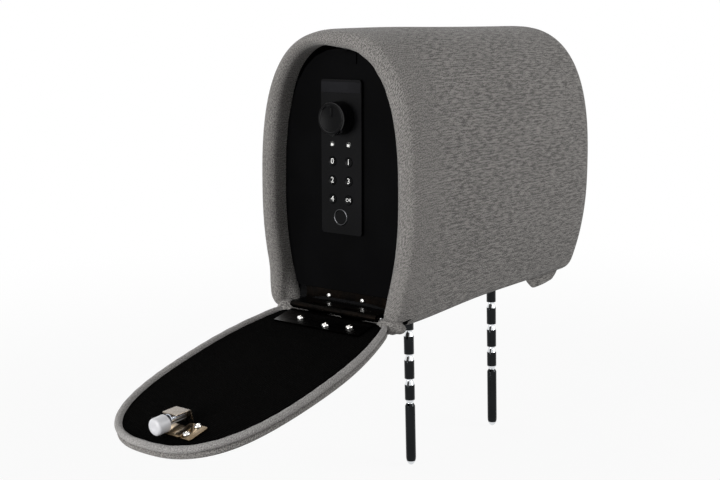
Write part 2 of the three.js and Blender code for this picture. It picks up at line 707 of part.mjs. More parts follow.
function addLidPad() {
  const rings = [];
  for (const degrees of [40, 70, 100, 130, 160, 190, 225]) {
    const turn = THREE.MathUtils.degToRad(degrees);
    rings.push(lidRing(
      LID_ROLL_BACK - LID_ROLL_RADIUS * Math.sin(turn),
      LID_INSET + LID_ROLL_RADIUS * (1 + Math.cos(turn)),
    ));
  }
  const reach = BOTTOM_DEPTH / 2 - LID_INSET;
  for (const [share, drawn] of LID_CROWN) {
    rings.push(lidRing(seamDepth + (LID_CROWN_HEIGHT - seamDepth) * share, LID_INSET + drawn * reach));
  }
  const rollCut = block(
    atLid([LINER_X - GAP, LINER_X + LID_ROLL_RADIUS]),
    [-leafHalf - PAST, leafHalf + PAST],
    upLid([HINGE_HEIGHT - 2 * LID_ROLL_RADIUS, pocketInset - LID_INSET + LID_LOW + PAST]),
  );
  const cover = cut(
    loft(rings),
    lidPrism(pocketInset, -LID_ROLL_RADIUS, foamFront - GAP / 2),
    lidPrism(foamInset, 0, foamBack + GAP),
    rollCut,
  );
  place(lid, 'lid_cover', cover, FABRIC);
  place(lid, 'lid_foam', lidPrism(foamInset + GAP, foamFront, foamBack), FOAM);
  const holeDiameter = LID_SCREW_DIAMETER + 2 * GAP;
  const throughRange = [LINER_X - boardBack - PAST, LINER_X + PAST];
  const holes = [...lidScrewHoles(holeDiameter, throughRange), ...latchScrewHoles(throughRange)];
  place(lid, 'lid_board', cut(lidPrism(pocketInset + 2 * GAP, boardFront, boardBack), ...holes), BLACK_PLASTIC);
  place(lid, 'lid_liner', cut(lidPrism(pocketInset + GAP, 0, LINER_THICKNESS), ...holes), LINER_CLOTH);
}

const lidLeafBottom = LINER_X + GAP;
const lidLeafTop = lidLeafBottom + LEAF_THICKNESS;

function addLidHinge() {
  const start = KNUCKLE_DIAMETER / 2 + 0.8;
  const plateRange = atLid([lidLeafBottom, lidLeafTop]);
  let leaf = block(plateRange, [-leafHalf, leafHalf], [start, start + LID_LEAF_LENGTH]);
  for (const index of knucklesOf(1)) {
    const range = knuckleRange(index);
    leaf = join(
      leaf,
      rodY(KNUCKLE_DIAMETER, range, 0, 0),
      block(plateRange, range, [0, start + PAST]),
    );
  }
  const bore = rodY(PIN_DIAMETER + 2 * GAP, [-leafHalf, leafHalf], 0, 0);
  const holes = lidScrewHoles(LID_SCREW_DIAMETER + 2 * RUN, [lidLeafBottom - PAST, lidLeafTop + PAST]);
  place(lid, 'hinge_lid_leaf', cut(leaf, bore, ...holes), STEEL);

  LID_SCREWS.forEach(([y, z], index) => {
    const headBottom = lidLeafTop + GAP;
    const screw = join(
      rodX(LID_SCREW_HEAD, atLid([headBottom, headBottom + 2]), y, z - HINGE_HEIGHT),
      rodX(LID_SCREW_DIAMETER, atLid([LINER_X - boardBack + GAP, headBottom + 1]), y, z - HINGE_HEIGHT),
    );
    place(lid, `lid_screw_${index + 1}`, screw, CHROME);
  });
}

const latchScrewY = LATCH_Y - LATCH_WIDTH / 2 - LATCH_BASE_WIDTH / 2 - 2;
const latchScrewZs = [0, 1].map((index) => LATCH_BOTTOM + 7 + index * LATCH_SCREW_PITCH);
const latchScrewDiameter = 3;

function latchScrewHoles(range) {
  return latchScrewZs.map((z) => rodX(
    latchScrewDiameter + 2 * GAP, atLid(range), latchScrewY, z - HINGE_HEIGHT,
  ));
}

function addLatch() {
  const foot = LINER_X + GAP;
  const sheet = LATCH_SHEET;
  const slope = (LATCH_HIGH_SIDE - LATCH_LOW_SIDE) / LATCH_LENGTH;
  const side = new THREE.Shape([
    new THREE.Vector2(0, 0),
    new THREE.Vector2(0, LATCH_LOW_SIDE),
    new THREE.Vector2(LATCH_LENGTH, LATCH_HIGH_SIDE),
    new THREE.Vector2(LATCH_LENGTH, 0),
    new THREE.Vector2(LATCH_LENGTH - sheet, 0),
    new THREE.Vector2(LATCH_LENGTH - sheet, LATCH_HIGH_SIDE - sheet * (1 + slope)),
    new THREE.Vector2(sheet, LATCH_LOW_SIDE - sheet * (1 - slope)),
    new THREE.Vector2(sheet, 0),
  ]);
  const yRange = [LATCH_Y - LATCH_WIDTH / 2, LATCH_Y + LATCH_WIDTH / 2];
  const geometry = new THREE.ExtrudeGeometry(side, { depth: LATCH_WIDTH, bevelEnabled: false });
  geometry.applyMatrix4(new THREE.Matrix4().makeBasis(
    new THREE.Vector3(0, 0, 1), new THREE.Vector3(1, 0, 0), new THREE.Vector3(0, 1, 0),
  ));
  geometry.translate(foot - HINGE_X, yRange[0], LATCH_BOTTOM - HINGE_HEIGHT);
  const baseX = atLid([foot, foot + sheet]);
  const plungerSide = LATCH_Y - PLUNGER_DIAMETER / 2 - RUN;
  const base = join(
    block(
      baseX,
      [yRange[0] - LATCH_BASE_WIDTH, plungerSide],
      upLid([LATCH_BOTTOM, LATCH_BOTTOM + LATCH_BASE_LENGTH]),
    ),
    block(baseX, [plungerSide - PAST, yRange[1]], upLid([LATCH_BOTTOM, LATCH_BOTTOM + LATCH_LENGTH])),
  );

  const plunger = new THREE.Group();
  plunger.position.set(LINER_X + PLUNGER_LIFT - HINGE_X, LATCH_Y, PLUNGER_Z - HINGE_HEIGHT);
  plunger.rotation.y = PLUNGER_TILT;
  lid.add(plunger);
  const headBack = PLUNGER_NOSE - PLUNGER_LENGTH;
  const stemRoom = rodGeometry(STEM_DIAMETER + 2 * GAP, 2 * STEM_LENGTH, SMALL_SIDES);
  stemRoom.rotateX(Math.PI / 2);
  stemRoom.translate(0, 0, headBack - STEM_LENGTH);
  plunger.updateMatrix();
  stemRoom.applyMatrix4(plunger.matrix);
  const screwHoles = latchScrewHoles([foot - PAST, foot + sheet + PAST]);
  place(lid, 'latch_bracket', cut(join(solid(geometry), base), solid(stemRoom), ...screwHoles), NICKEL);

  const head = PLUNGER_DIAMETER / 2;
  const stem = STEM_DIAMETER / 2;
  const profile = [
    [0, headBack - STEM_LENGTH],
    [stem, headBack - STEM_LENGTH],
    [stem, headBack],
    [head, headBack],
    [head, PLUNGER_NOSE - 0.8],
    [head - 0.8, PLUNGER_NOSE],
    [0, PLUNGER_NOSE],
  ];
  place(plunger, 'latch_plunger', turned(profile), WHITE_NYLON);

  latchScrewZs.forEach((z, index) => {
    const headBottom = foot + sheet + GAP;
    const screw = join(
      rodX(2 * latchScrewDiameter, atLid([headBottom, headBottom + 1.6]), latchScrewY, z - HINGE_HEIGHT),
      rodX(latchScrewDiameter, atLid([LINER_X - boardBack + GAP, headBottom + 1]), latchScrewY, z - HINGE_HEIGHT),
    );
    place(lid, `latch_screw_${index + 1}`, screw, CHROME);
  });

  const keeperBack = FRONT_FACE - GAP;
  const keeperY = [LATCH_Y - KEEPER_WIDTH / 2, LATCH_Y + KEEPER_WIDTH / 2];
  const keeper = join(
    block([keeperBack - KEEPER_SHEET, keeperBack], keeperY, [KEEPER_BOTTOM, KEEPER_TOP]),
    block([keeperBack - KEEPER_SHEET - KEEPER_REACH, keeperBack], keeperY, [KEEPER_TOP - KEEPER_SHEET, KEEPER_TOP]),
  );
  place(body, 'latch_keeper', keeper, BLACK_STEEL);
}

const panelY = [PANEL_Y - PANEL_WIDTH / 2, PANEL_Y + PANEL_WIDTH / 2];
const caseY = [PANEL_Y - CASE_WIDTH / 2, PANEL_Y + CASE_WIDTH / 2];
const caseZ = [PANEL_Z - CASE_HEIGHT / 2, PANEL_Z + CASE_HEIGHT / 2];
const grown = ([from, to], by) => [from - by, to + by];

function addDrawer() {
  const front = prism([FRONT_FACE, FRONT_BACK], FRONT_INSET);
  const window = block([FRONT_FACE - PAST, FRONT_BACK + PAST], grown(caseY, GAP), grown(caseZ, GAP));
  place(body, 'drawer_front', cut(front, window), BLACK_STEEL);

  const trayTop = TRAY_BOTTOM + TRAY_HEIGHT;
  const tray = cut(
    block([SHELL_FRONT, TRAY_BACK], [-TRAY_HALF, TRAY_HALF], [TRAY_BOTTOM, trayTop]),
    block(
      [SHELL_FRONT - PAST, TRAY_BACK - TRAY_WALL],
      [-TRAY_HALF + TRAY_WALL, TRAY_HALF - TRAY_WALL],
      [TRAY_BOTTOM + TRAY_WALL, trayTop + PAST],
    ),
  );
  place(body, 'drawer_tray', tray, BLACK_STEEL);
  const matBottom = TRAY_BOTTOM + TRAY_WALL + GAP;
  const matSide = TRAY_HALF - TRAY_WALL - GAP - 0.1;
  const matFront = SHELL_FRONT + BATTERY_DEPTH + GAP + BATTERY_WALL + 3 * GAP;
  const mat = block(
    [matFront, TRAY_BACK - TRAY_WALL - GAP],
    [-matSide, matSide],
    [matBottom, matBottom + MAT_THICKNESS],
  );
  place(body, 'tray_liner', mat, FOAM);
}

function addRails() {
  const webBack = CHANNEL_INSIDE - GAP;
  const railBottom = SHELL_INNER + RAIL_LIFT;
  const railTop = railBottom + RAIL_HEIGHT;
  const railMiddle = (railBottom + railTop) / 2;
  const footBottom = SHELL_INNER + GAP;
  const start = SHELL_FRONT + RAIL_FRONT_GAP;
  const long = [start, TRAY_BACK];
  const slide = [start - PAST, TRAY_BACK - PAST];
  for (const [label, sign] of [['left', 1], ['right', -1]]) {
    const across = (near, far) => [sign * near, sign * far].sort((a, b) => a - b);
    const wall = across(CHANNEL_INSIDE, RAIL_OUTSIDE);
    const flange = across(CHANNEL_INSIDE - SLIDE_TONGUE, RAIL_OUTSIDE);
    const fixed = join(
      block(long, wall, [footBottom, railTop]),
      block(long, flange, [railBottom, railBottom + RAIL_SHEET]),
      block(long, flange, [railTop - RAIL_SHEET, railTop]),
      block(long, across(CHANNEL_INSIDE - RAIL_FOOT, RAIL_OUTSIDE), [footBottom, footBottom + RAIL_SHEET]),
    );
    place(body, `rail_fixed_${label}`, fixed, STEEL);
    const tongueHalf = RAIL_HEIGHT / 2 - RAIL_SHEET - GAP;
    const moving = join(
      block(
        slide,
        across(TRAY_HALF + GAP, webBack),
        [railMiddle - SLIDE_WEB_HEIGHT / 2, railMiddle + SLIDE_WEB_HEIGHT / 2],
      ),
      block(slide, across(webBack - SLIDE_TONGUE, webBack), [railMiddle - tongueHalf, railMiddle + tongueHalf]),
    );
    place(body, `rail_moving_${label}`, moving, STEEL);
  }
}

const keyPlaces = [];
for (let row = 0; row < 3; row += 1) {
  for (const side of [1, -1]) {
    keyPlaces.push([
      PANEL_Y + KEY_SHIFT + side * KEY_COLUMN_PITCH / 2,
      PANEL_Z + KEY_TOP_RISE - row * KEY_ROW_PITCH,
    ]);
  }
}
const KEY_LABELS = ['0', '1', '2', '3', '4', 'ok'];
const lightPlaces = [1, -1].map((side) => [
  PANEL_Y + KEY_SHIFT + side * KEY_COLUMN_PITCH / 2,
  PANEL_Z + LIGHT_RISE,
]);
const sensorY = PANEL_Y + SENSOR_SHIFT;
const sensorZ = PANEL_Z + SENSOR_RISE;
const keyFlangeFront = CASE_INSIDE + GAP;

// A flat piece with rounded corners, seen along X
function roundedPlate([x0, x1], y, z, width, height, round) {
  const shape = new THREE.Shape();
  const [w, h] = [width / 2, height / 2];
  const corners = [[w, h, 0], [-w, h, 1], [-w, -h, 2], [w, -h, 3]];
  for (const [cornerY, cornerZ, quarter] of corners) {
    const centreY = cornerY - Math.sign(cornerY) * round;
    const centreZ = cornerZ - Math.sign(cornerZ) * round;
    shape.absarc(centreY, centreZ, round, quarter * Math.PI / 2, (quarter + 1) * Math.PI / 2, false);
  }
  const options = { depth: x1 - x0, bevelEnabled: false, curveSegments: 4 };
  const geometry = new THREE.ExtrudeGeometry(shape, options);
  geometry.applyMatrix4(new THREE.Matrix4().makeBasis(
    new THREE.Vector3(0, 1, 0), new THREE.Vector3(0, 0, 1), new THREE.Vector3(1, 0, 0),
  ));
  geometry.translate(x0, y, z);
  return solid(geometry);
}

function addLockPanel() {
  const throughFace = [PANEL_FRONT - PAST, CASE_INSIDE + PAST];
  const bezel = roundedPlate(
    [PANEL_FRONT, PANEL_FRONT + PANEL_THICKNESS], PANEL_Y, PANEL_Z, PANEL_WIDTH, PANEL_HEIGHT, PANEL_ROUND,
  );
  const shell = cut(
    block([PANEL_FRONT + PANEL_THICKNESS / 2, CASE_BACK], caseY, caseZ),
    block([CASE_INSIDE, CASE_BACK + PAST], grown(caseY, -CASE_WALL), grown(caseZ, -CASE_WALL)),
  );
  const stripZ = PANEL_Z + STRIP_RISE;
  const stripBack = PANEL_FRONT + STRIP_THICKNESS;
  const stripRoom = block(
    [PANEL_FRONT - PAST, stripBack],
    [PANEL_Y - STRIP_WIDTH / 2 - RUN, PANEL_Y + STRIP_WIDTH / 2 + RUN],
    [stripZ - STRIP_HEIGHT / 2 - RUN, stripZ + STRIP_HEIGHT / 2 + RUN],
  );
  const housing = cut(
    join(bezel, shell),
    stripRoom,
    ...keyPlaces.map(([y, z]) => rodX(KEY_DIAMETER + 2 * GAP, throughFace, y, z)),
    ...lightPlaces.map(([y, z]) => rodX(LIGHT_DIAMETER + 2 * RUN, throughFace, y, z)),
    rodX(RING_DIAMETER + 2 * GAP, throughFace, sensorY, sensorZ, ROUND_SIDES),
    rodX(SPINDLE_DIAMETER + 2 * RUN + GAP, throughFace, PANEL_Y, KNOB_Z),
  );
  place(body, 'lock_housing', housing, BLACK_PLASTIC);

  const strip = block(
    [stripBack - GAP - STRIP_THICKNESS, stripBack - GAP],
    [PANEL_Y - STRIP_WIDTH / 2, PANEL_Y + STRIP_WIDTH / 2],
    [stripZ - STRIP_HEIGHT / 2, stripZ + STRIP_HEIGHT / 2],
  );
  place(body, 'strip_window', strip, GLOSS_BLACK);

  const lightNames = ['light_locked', 'light_open'];
  lightPlaces.forEach(([y, z], index) => {
    const lens = rodX(LIGHT_DIAMETER, [PANEL_FRONT - RUN, CASE_INSIDE - RUN], y, z);
    place(body, lightNames[index], lens, LIGHT_LENS);
  });

  const stemEnd = CIRCUIT_FRONT - GAP - KEY_TRAVEL;
  keyPlaces.forEach(([y, z], index) => {
    const key = join(
      rodX(KEY_DIAMETER, [PANEL_FRONT - KEY_PROUD, keyFlangeFront + RUN], y, z),
      rodX(KEY_FLANGE_DIAMETER, [keyFlangeFront, keyFlangeFront + KEY_FLANGE_THICKNESS], y, z),
      rodX(KEY_STEM_DIAMETER, [keyFlangeFront + RUN, stemEnd], y, z),
    );
    place(body, `key_${KEY_LABELS[index]}`, key, BLACK_PLASTIC);
  });

  const ringFront = PANEL_FRONT - KEY_PROUD;
  const sensorRing = cut(
    rodX(RING_DIAMETER, [ringFront, ringFront + RING_DEPTH], sensorY, sensorZ, ROUND_SIDES),
    rodX(SENSOR_DIAMETER + 2 * GAP, [ringFront - PAST, ringFront + RING_DEPTH + PAST], sensorY, sensorZ, ROUND_SIDES),
  );
  place(body, 'fingerprint_ring', sensorRing, CHROME);
  const sensor = rodX(SENSOR_DIAMETER, [PANEL_FRONT - RUN, ringFront + RING_DEPTH], sensorY, sensorZ, ROUND_SIDES);
  place(body, 'fingerprint_sensor', sensor, GLOSS_BLACK);

  const board = cut(
    block(
      [CIRCUIT_FRONT, CIRCUIT_FRONT + CIRCUIT_THICKNESS],
      grown(caseY, -CASE_WALL - GAP),
      grown(caseZ, -CASE_WALL - GAP),
    ),
    rodX(
      SPINDLE_DIAMETER + 4 * GAP,
      [CIRCUIT_FRONT - PAST, CIRCUIT_FRONT + CIRCUIT_THICKNESS + PAST],
      PANEL_Y,
      KNOB_Z,
    ),
  );
  place(body, 'circuit_board', board, CIRCUIT_GREEN);
}

function addLockWorks() {
  const knobFront = KNOB_BACK - KNOB_LENGTH;
  const spindleFront = knobFront + SPINDLE_SINK;
  const knob = cut(
    rodX(KNOB_DIAMETER, [knobFront, KNOB_BACK], PANEL_Y, KNOB_Z, ROUND_SIDES),
    rodX(KNOB_DIAMETER - 2 * KNOB_RIM, [knobFront - PAST, knobFront + KNOB_DISH], PANEL_Y, KNOB_Z, ROUND_SIDES),
    rodX(SPINDLE_DIAMETER + 2 * RUN, [spindleFront - GAP, KNOB_BACK + PAST], PANEL_Y, KNOB_Z),
  );
  place(body, 'knob', knob, BLACK_PLASTIC);
  place(body, 'spindle', rodX(SPINDLE_DIAMETER, [spindleFront, CAM_BACK - RUN], PANEL_Y, KNOB_Z), STEEL);

  const crankSide = CRANK_RADIUS * Math.SQRT1_2;
  const crankY = PANEL_Y + crankSide;
  const crankZ = KNOB_Z + crankSide;
  const camRadius = CAM_DIAMETER / 2;
  const notchTop = camRadius - CAM_NOTCH_DEPTH;
  const camRange = [CAM_FRONT - PAST, CAM_BACK + PAST];
  const cam = join(
    cut(
      rodX(CAM_DIAMETER, [CAM_FRONT, CAM_BACK], PANEL_Y, KNOB_Z, ROUND_SIDES),
      rodX(SPINDLE_DIAMETER + 2 * RUN, camRange, PANEL_Y, KNOB_Z),
      block(
        camRange,
        [PANEL_Y - CAM_NOTCH / 2, PANEL_Y + CAM_NOTCH / 2],
        [KNOB_Z - camRadius - PAST, KNOB_Z - notchTop],
      ),
      block(
        camRange,
        [PANEL_Y - camRadius - PAST, PANEL_Y - notchTop],
        [KNOB_Z - CAM_NOTCH / 2, KNOB_Z + CAM_NOTCH / 2],
      ),
    ),
    rodX(CRANK_DIAMETER, [CAM_BACK - PAST, BAR_BACK - RUN / 2], crankY, crankZ),
  );
  place(body, 'cam', cam, STEEL);

  const barZ = [KNOB_Z + BOLT_BAR_RISE - BOLT_BAR_HEIGHT / 2, KNOB_Z + BOLT_BAR_RISE + BOLT_BAR_HEIGHT / 2];
  const noseTip = -LUG_REACH + BOLT_NOSE_PLAY;
  const noseStart = GUIDE_RIGHT;
  const slotReach = CRANK_DIAMETER / 2 + 2 * RUN;
  const crankTop = KNOB_Z + CRANK_RADIUS;
  const bar = cut(
    join(
      block([BAR_FRONT, BAR_BACK], [noseStart, BOLT_BAR_TAIL], barZ),
      block(
        [BAR_FRONT, BAR_BACK],
        [noseTip, noseStart + PAST],
        [KNOB_Z - BOLT_NOSE_HEIGHT / 2, KNOB_Z + BOLT_NOSE_HEIGHT / 2],
      ),
    ),
    block(
      [BAR_FRONT - PAST, BAR_BACK + PAST],
      [crankY - slotReach, crankY + slotReach],
      [crankZ - slotReach - GAP, crankTop + slotReach + GAP],
    ),
  );
  place(body, 'bolt_bar', bar, STEEL);

  const bridgeFront = BAR_BACK + GAP;
  const bridgeBack = bridgeFront + GUIDE_SHEET;
  const guideY = [GUIDE_RIGHT, GUIDE_LEFT];
  const lower = [barZ[0] - 2 * RUN - GUIDE_SHEET, barZ[0] - 2 * RUN];
  const upper = [barZ[1] + 2 * RUN, barZ[1] + 2 * RUN + GUIDE_SHEET];
  const legs = [[GUIDE_RIGHT, GUIDE_RIGHT + GUIDE_LEG], [GUIDE_LEFT - GUIDE_LEG, GUIDE_LEFT]];
  const guide = join(
    block([bridgeFront, bridgeBack], guideY, [lower[0], upper[1]]),
    block([BAR_FRONT - GAP, bridgeBack], guideY, lower),
    block([BAR_FRONT - GAP, bridgeBack], guideY, upper),
    ...legs.flatMap((range) => [
      block([SHELL_FRONT, bridgeBack], range, lower),
      block([SHELL_FRONT, bridgeBack], range, upper),
    ]),
  );
  place(body, 'bolt_guide', guide, STEEL);

  const pinX = (CAM_FRONT + CAM_BACK) / 2;
  const pinTip = KNOB_Z - camRadius - LOCK_PIN_PLAY;
  const pinBottom = pinTip - LOCK_PIN_LENGTH;
  const solenoidTop = pinTip - SOLENOID_HEAD_ROOM;
  const plateFront = CASE_BACK + GAP;
  const plateTop = solenoidTop - SOLENOID_EAR_DROP;
  const solenoid = cut(
    join(
      block(
        [plateFront, plateFront + SOLENOID_DEPTH],
        [PANEL_Y - SOLENOID_WIDTH / 2, PANEL_Y + SOLENOID_WIDTH / 2],
        [solenoidTop - SOLENOID_HEIGHT, solenoidTop],
      ),
      block([plateFront, plateFront + GUIDE_SHEET], caseY, [plateTop - SOLENOID_EAR_HEIGHT, plateTop]),
    ),
    rodZ(LOCK_PIN_DIAMETER + 2 * GAP, [pinBottom - GAP, solenoidTop + PAST], pinX, PANEL_Y),
  );
  place(body, 'solenoid', solenoid, STEEL);
  place(body, 'solenoid_pin', rodZ(LOCK_PIN_DIAMETER, [pinBottom, pinTip], pinX, PANEL_Y), STEEL);
}

function addBatteries() {
  const boxX = [SHELL_FRONT, SHELL_FRONT + BATTERY_DEPTH];
  const boxY = [PANEL_Y - BATTERY_WIDTH / 2, PANEL_Y + BATTERY_WIDTH / 2];
  const boxZ = [BATTERY_BOTTOM, BATTERY_TOP];
  const box = cut(
    block(boxX, boxY, boxZ),
    block([boxX[0] + BATTERY_WALL, boxX[1] + PAST], grown(boxY, -BATTERY_WALL), grown(boxZ, -BATTERY_WALL)),
  );
  place(body, 'battery_box', box, BLACK_PLASTIC);
  const cover = block([boxX[1] + GAP, boxX[1] + GAP + BATTERY_WALL], boxY, boxZ);
  place(body, 'battery_cover', cover, BLACK_PLASTIC);
  const firstX = boxX[0] + BATTERY_WALL + CELL_DIAMETER / 2 + 2 * RUN;
  const firstZ = boxZ[0] + BATTERY_WALL + CELL_DIAMETER / 2 + GAP;
  const cellY = [PANEL_Y - CELL_LENGTH / 2, PANEL_Y + CELL_LENGTH / 2];
  for (let index = 0; index < 4; index += 1) {
    const x = firstX + (index % 2) * CELL_PITCH;
    const z = firstZ + Math.floor(index / 2) * CELL_PITCH;
    place(body, `battery_${index + 1}`, rodY(CELL_DIAMETER, cellY, x, z), STEEL);
  }
}

addCover();
addFoam();
addShell();
addPosts();
addBodyHinge();
addFlap();
addLidPad();
addLidHinge();
addLatch();
addDrawer();
addRails();
addLockPanel();
addLockWorks();
addBatteries();

export default safe;
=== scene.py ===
import math

import bmesh
import bpy
import numpy as np
from mathutils import Matrix, Vector


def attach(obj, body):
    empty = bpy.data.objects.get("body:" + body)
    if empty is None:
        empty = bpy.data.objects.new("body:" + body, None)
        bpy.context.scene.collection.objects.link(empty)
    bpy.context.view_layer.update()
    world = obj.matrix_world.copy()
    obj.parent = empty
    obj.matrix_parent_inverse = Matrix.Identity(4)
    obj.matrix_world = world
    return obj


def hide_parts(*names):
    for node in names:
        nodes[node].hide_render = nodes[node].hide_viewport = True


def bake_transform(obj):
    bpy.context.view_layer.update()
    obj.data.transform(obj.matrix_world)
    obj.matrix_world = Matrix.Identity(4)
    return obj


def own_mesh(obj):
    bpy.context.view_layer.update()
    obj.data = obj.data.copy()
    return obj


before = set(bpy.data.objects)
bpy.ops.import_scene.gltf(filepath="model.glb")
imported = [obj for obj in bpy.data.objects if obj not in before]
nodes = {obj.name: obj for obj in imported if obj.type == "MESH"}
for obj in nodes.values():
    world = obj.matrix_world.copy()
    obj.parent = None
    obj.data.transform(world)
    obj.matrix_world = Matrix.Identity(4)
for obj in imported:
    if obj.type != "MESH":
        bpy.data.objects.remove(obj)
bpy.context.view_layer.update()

# Sizes in millimetres, as in the part's source, measured from the middle of the padded body
BODY_SHIFT = 22.1
HALF_LENGTH = 179.0
HALF_DEPTH = 91.5
BOTTOM_TAPER = 20.0
BODY_TOP = 261.0
SHOULDER = 109.0
CROWN_POWER = 2.66
FLANK_POWER = 2.22
END_ROUND = 32.0
RIM = 8.2
RIM_X = -155.8
HINGE_X = -162.3
HINGE_Z = 2.9
LID_DROOP = 13.7
LINER_X = -167.3
LID_INSET = 13.2
LID_LOW = 1.5
LID_CORNER = 16.0
PANEL_X = -147.2
PANEL_Y = 3.1
PANEL_Z = 144.0
KNOB_Z = 180.4
KEY_SHIFT = 0.95
KEY_SIDE = 9.45
KEY_DROP = 4
KEY_PITCH = 17.5
KEY_PROUD = 0.7
KEY_STEM_END = -135.6
LAMP_RISE = 12.2
LATCH_Y = -5.0
LATCH_Z = 205.0
POST_X = 75.9
POST_RAKE = 0.0295

# Foam under the cover, its hollow for the safe, the lid's filling and the drawer's mat
FOAM_DEPTH = 1.8
HOLLOW_INSET = 16.5
HOLLOW_START = -138.0
HOLLOW_END = 152.0
FILLING_FRONT = 4.8
FILLING_BACK = 10.5
FILLING_INSET = 24.3
MAT_HALF = 43.4
MAT_MIDDLE = 33.5
MAT_HALF_THICKNESS = 2.5

# How far the cover strays from an even form: rim, shoulder, feet and underside
NEAR_FULLNESS = 4.7
FAR_THINNESS = 5.2
FAR_FOOT = 9
FOOT_DROP = 6.5
UNDERSIDE_SAG = 6.0

# Steps round half a ring of the padded forms: along the bottom and its corner, then up to the top
BOTTOM_STEPS = 14
SIDE_STEPS = 70

BODY_PLACE = Matrix.Translation((0, BODY_SHIFT / 1000, 0)) @ Matrix.Scale(0.001, 4)
LID_SWING = (
    Matrix.Translation((HINGE_X, 0, HINGE_Z))
    @ Matrix.Rotation(-math.radians(90 + LID_DROOP), 4, "Y")
    @ Matrix.Translation((-HINGE_X, 0, -HINGE_Z))
)
LID_PLACE = BODY_PLACE @ LID_SWING


# Camera at the photograph's place
def aim_camera():
    turn, dip, roll = (math.radians(a) for a in (37.845, 10.195, 0.116))
    ahead = Vector((math.cos(turn) * math.cos(dip), math.sin(turn) * math.cos(dip), -math.sin(dip)))
    level = Vector((math.sin(turn), -math.cos(turn), 0))
    upright = level.cross(ahead)
    across = level * math.cos(roll) - upright * math.sin(roll)
    up = level * math.sin(roll) + upright * math.cos(roll)
    data = bpy.data.cameras.new("camera")
    data.sensor_width = 36
    data.lens = 61.73
    data.clip_start = 0.02
    data.clip_end = 100
    camera = bpy.data.objects.new("camera", data)
    place = Matrix((across, up, -ahead)).transposed().to_4x4()
    place.translation = (-1.02878, -0.68137, 0.27023)
    camera.matrix_world = place
    bpy.context.scene.collection.objects.link(camera)
    bpy.context.scene.camera = camera


aim_camera()


# A node's output in sums of a finish
class Flow:
    def __init__(self, finish, socket):
        self.finish = finish
        self.socket = socket

    def math(self, operation, *others):
        return self.finish.node("ShaderNodeMath", {"operation": operation}, dict(enumerate([self, *others])))

    def __add__(self, other):
        return self.math("ADD", other)

    __radd__ = __add__

    def __mul__(self, other):
        return self.math("MULTIPLY", other)

    __rmul__ = __mul__

    def __sub__(self, other):
        return self.math("SUBTRACT", other)

    def __rsub__(self, other):
        return self.finish.node("ShaderNodeMath", {"operation": "SUBTRACT"}, {0: other, 1: self})

    def __pow__(self, other):
        return self.math("POWER", other)

    def sin(self):
        return self.math("SINE")

    def rise(self, low, high):
        return self.finish.node(
            "ShaderNodeMapRange",
            {"interpolation_type": "SMOOTHSTEP"},
            {"Value": self, "From Min": low, "From Max": high},
        )


# A procedural material, or a world, and its nodes
class Finish:
    def __init__(self, owner):
        self.owner = bpy.data.materials.new(owner) if isinstance(owner, str) else owner
        self.owner.use_nodes = True
        self.tree = self.owner.node_tree
        self.tree.nodes.clear()

    def node(self, kind, settings=None, values=None, output=0):
        made = self.tree.nodes.new(kind)
        for key, value in (settings or {}).items():
            setattr(made, key, value)
        for key, value in (values or {}).items():
            if isinstance(value, Flow):
                self.tree.links.new(value.socket, made.inputs[key])
            elif isinstance(value, tuple) and len(value) == 3 and made.inputs[key].type == "RGBA":
                made.inputs[key].default_value = (*value, 1)
            else:
                made.inputs[key].default_value = value
        return Flow(self, made.outputs[output])

    def places(self):
        return self.node("ShaderNodeTexCoord", output="Object")

    def cloth_map(self):
        return self.node("ShaderNodeUVMap", {"uv_map": "cloth"})

    def stretch(self, places, scale=(1, 1, 1), turn=(0, 0, 0)):
        return self.node("ShaderNodeMapping", values={"Vector": places, "Scale": scale, "Rotation": turn})

    def axis(self, places, index):
        return self.node("ShaderNodeSeparateXYZ", values={0: places}, output=index)

    def noise(self, places, scale, detail=2.0, rough=0.5):
        return self.node(
            "ShaderNodeTexNoise", values={"Vector": places, "Scale": scale, "Detail": detail, "Roughness": rough}
        )

    def mix(self, share, low, high):
        return self.node("ShaderNodeMix", {"data_type": "RGBA"}, {0: share, 6: low, 7: high}, output=2)

    def bump(self, height, distance, strength=1.0):
        return self.node("ShaderNodeBump", values={"Height": height, "Distance": distance, "Strength": strength})

    # 1 for what the camera sees straight or in a gloss or through a clear piece, 0 for all other light
    def shown(self):
        seen = self.node("ShaderNodeLightPath", output="Is Camera Ray")
        mirrored = self.node("ShaderNodeLightPath", output="Is Glossy Ray")
        through = self.node("ShaderNodeLightPath", output="Is Transmission Ray")
        return (seen + mirrored + through).math("MINIMUM", 1.0)

    def close(self, **values):
        named = {key.replace("_", " "): value for key, value in values.items()}
        shader = self.node("ShaderNodeBsdfPrincipled", values=named)
        return self.give(shader)

    def give(self, shader, output="ShaderNodeOutputMaterial"):
        self.tree.links.new(shader.socket, self.tree.nodes.new(output).inputs["Surface"])
        return self.owner


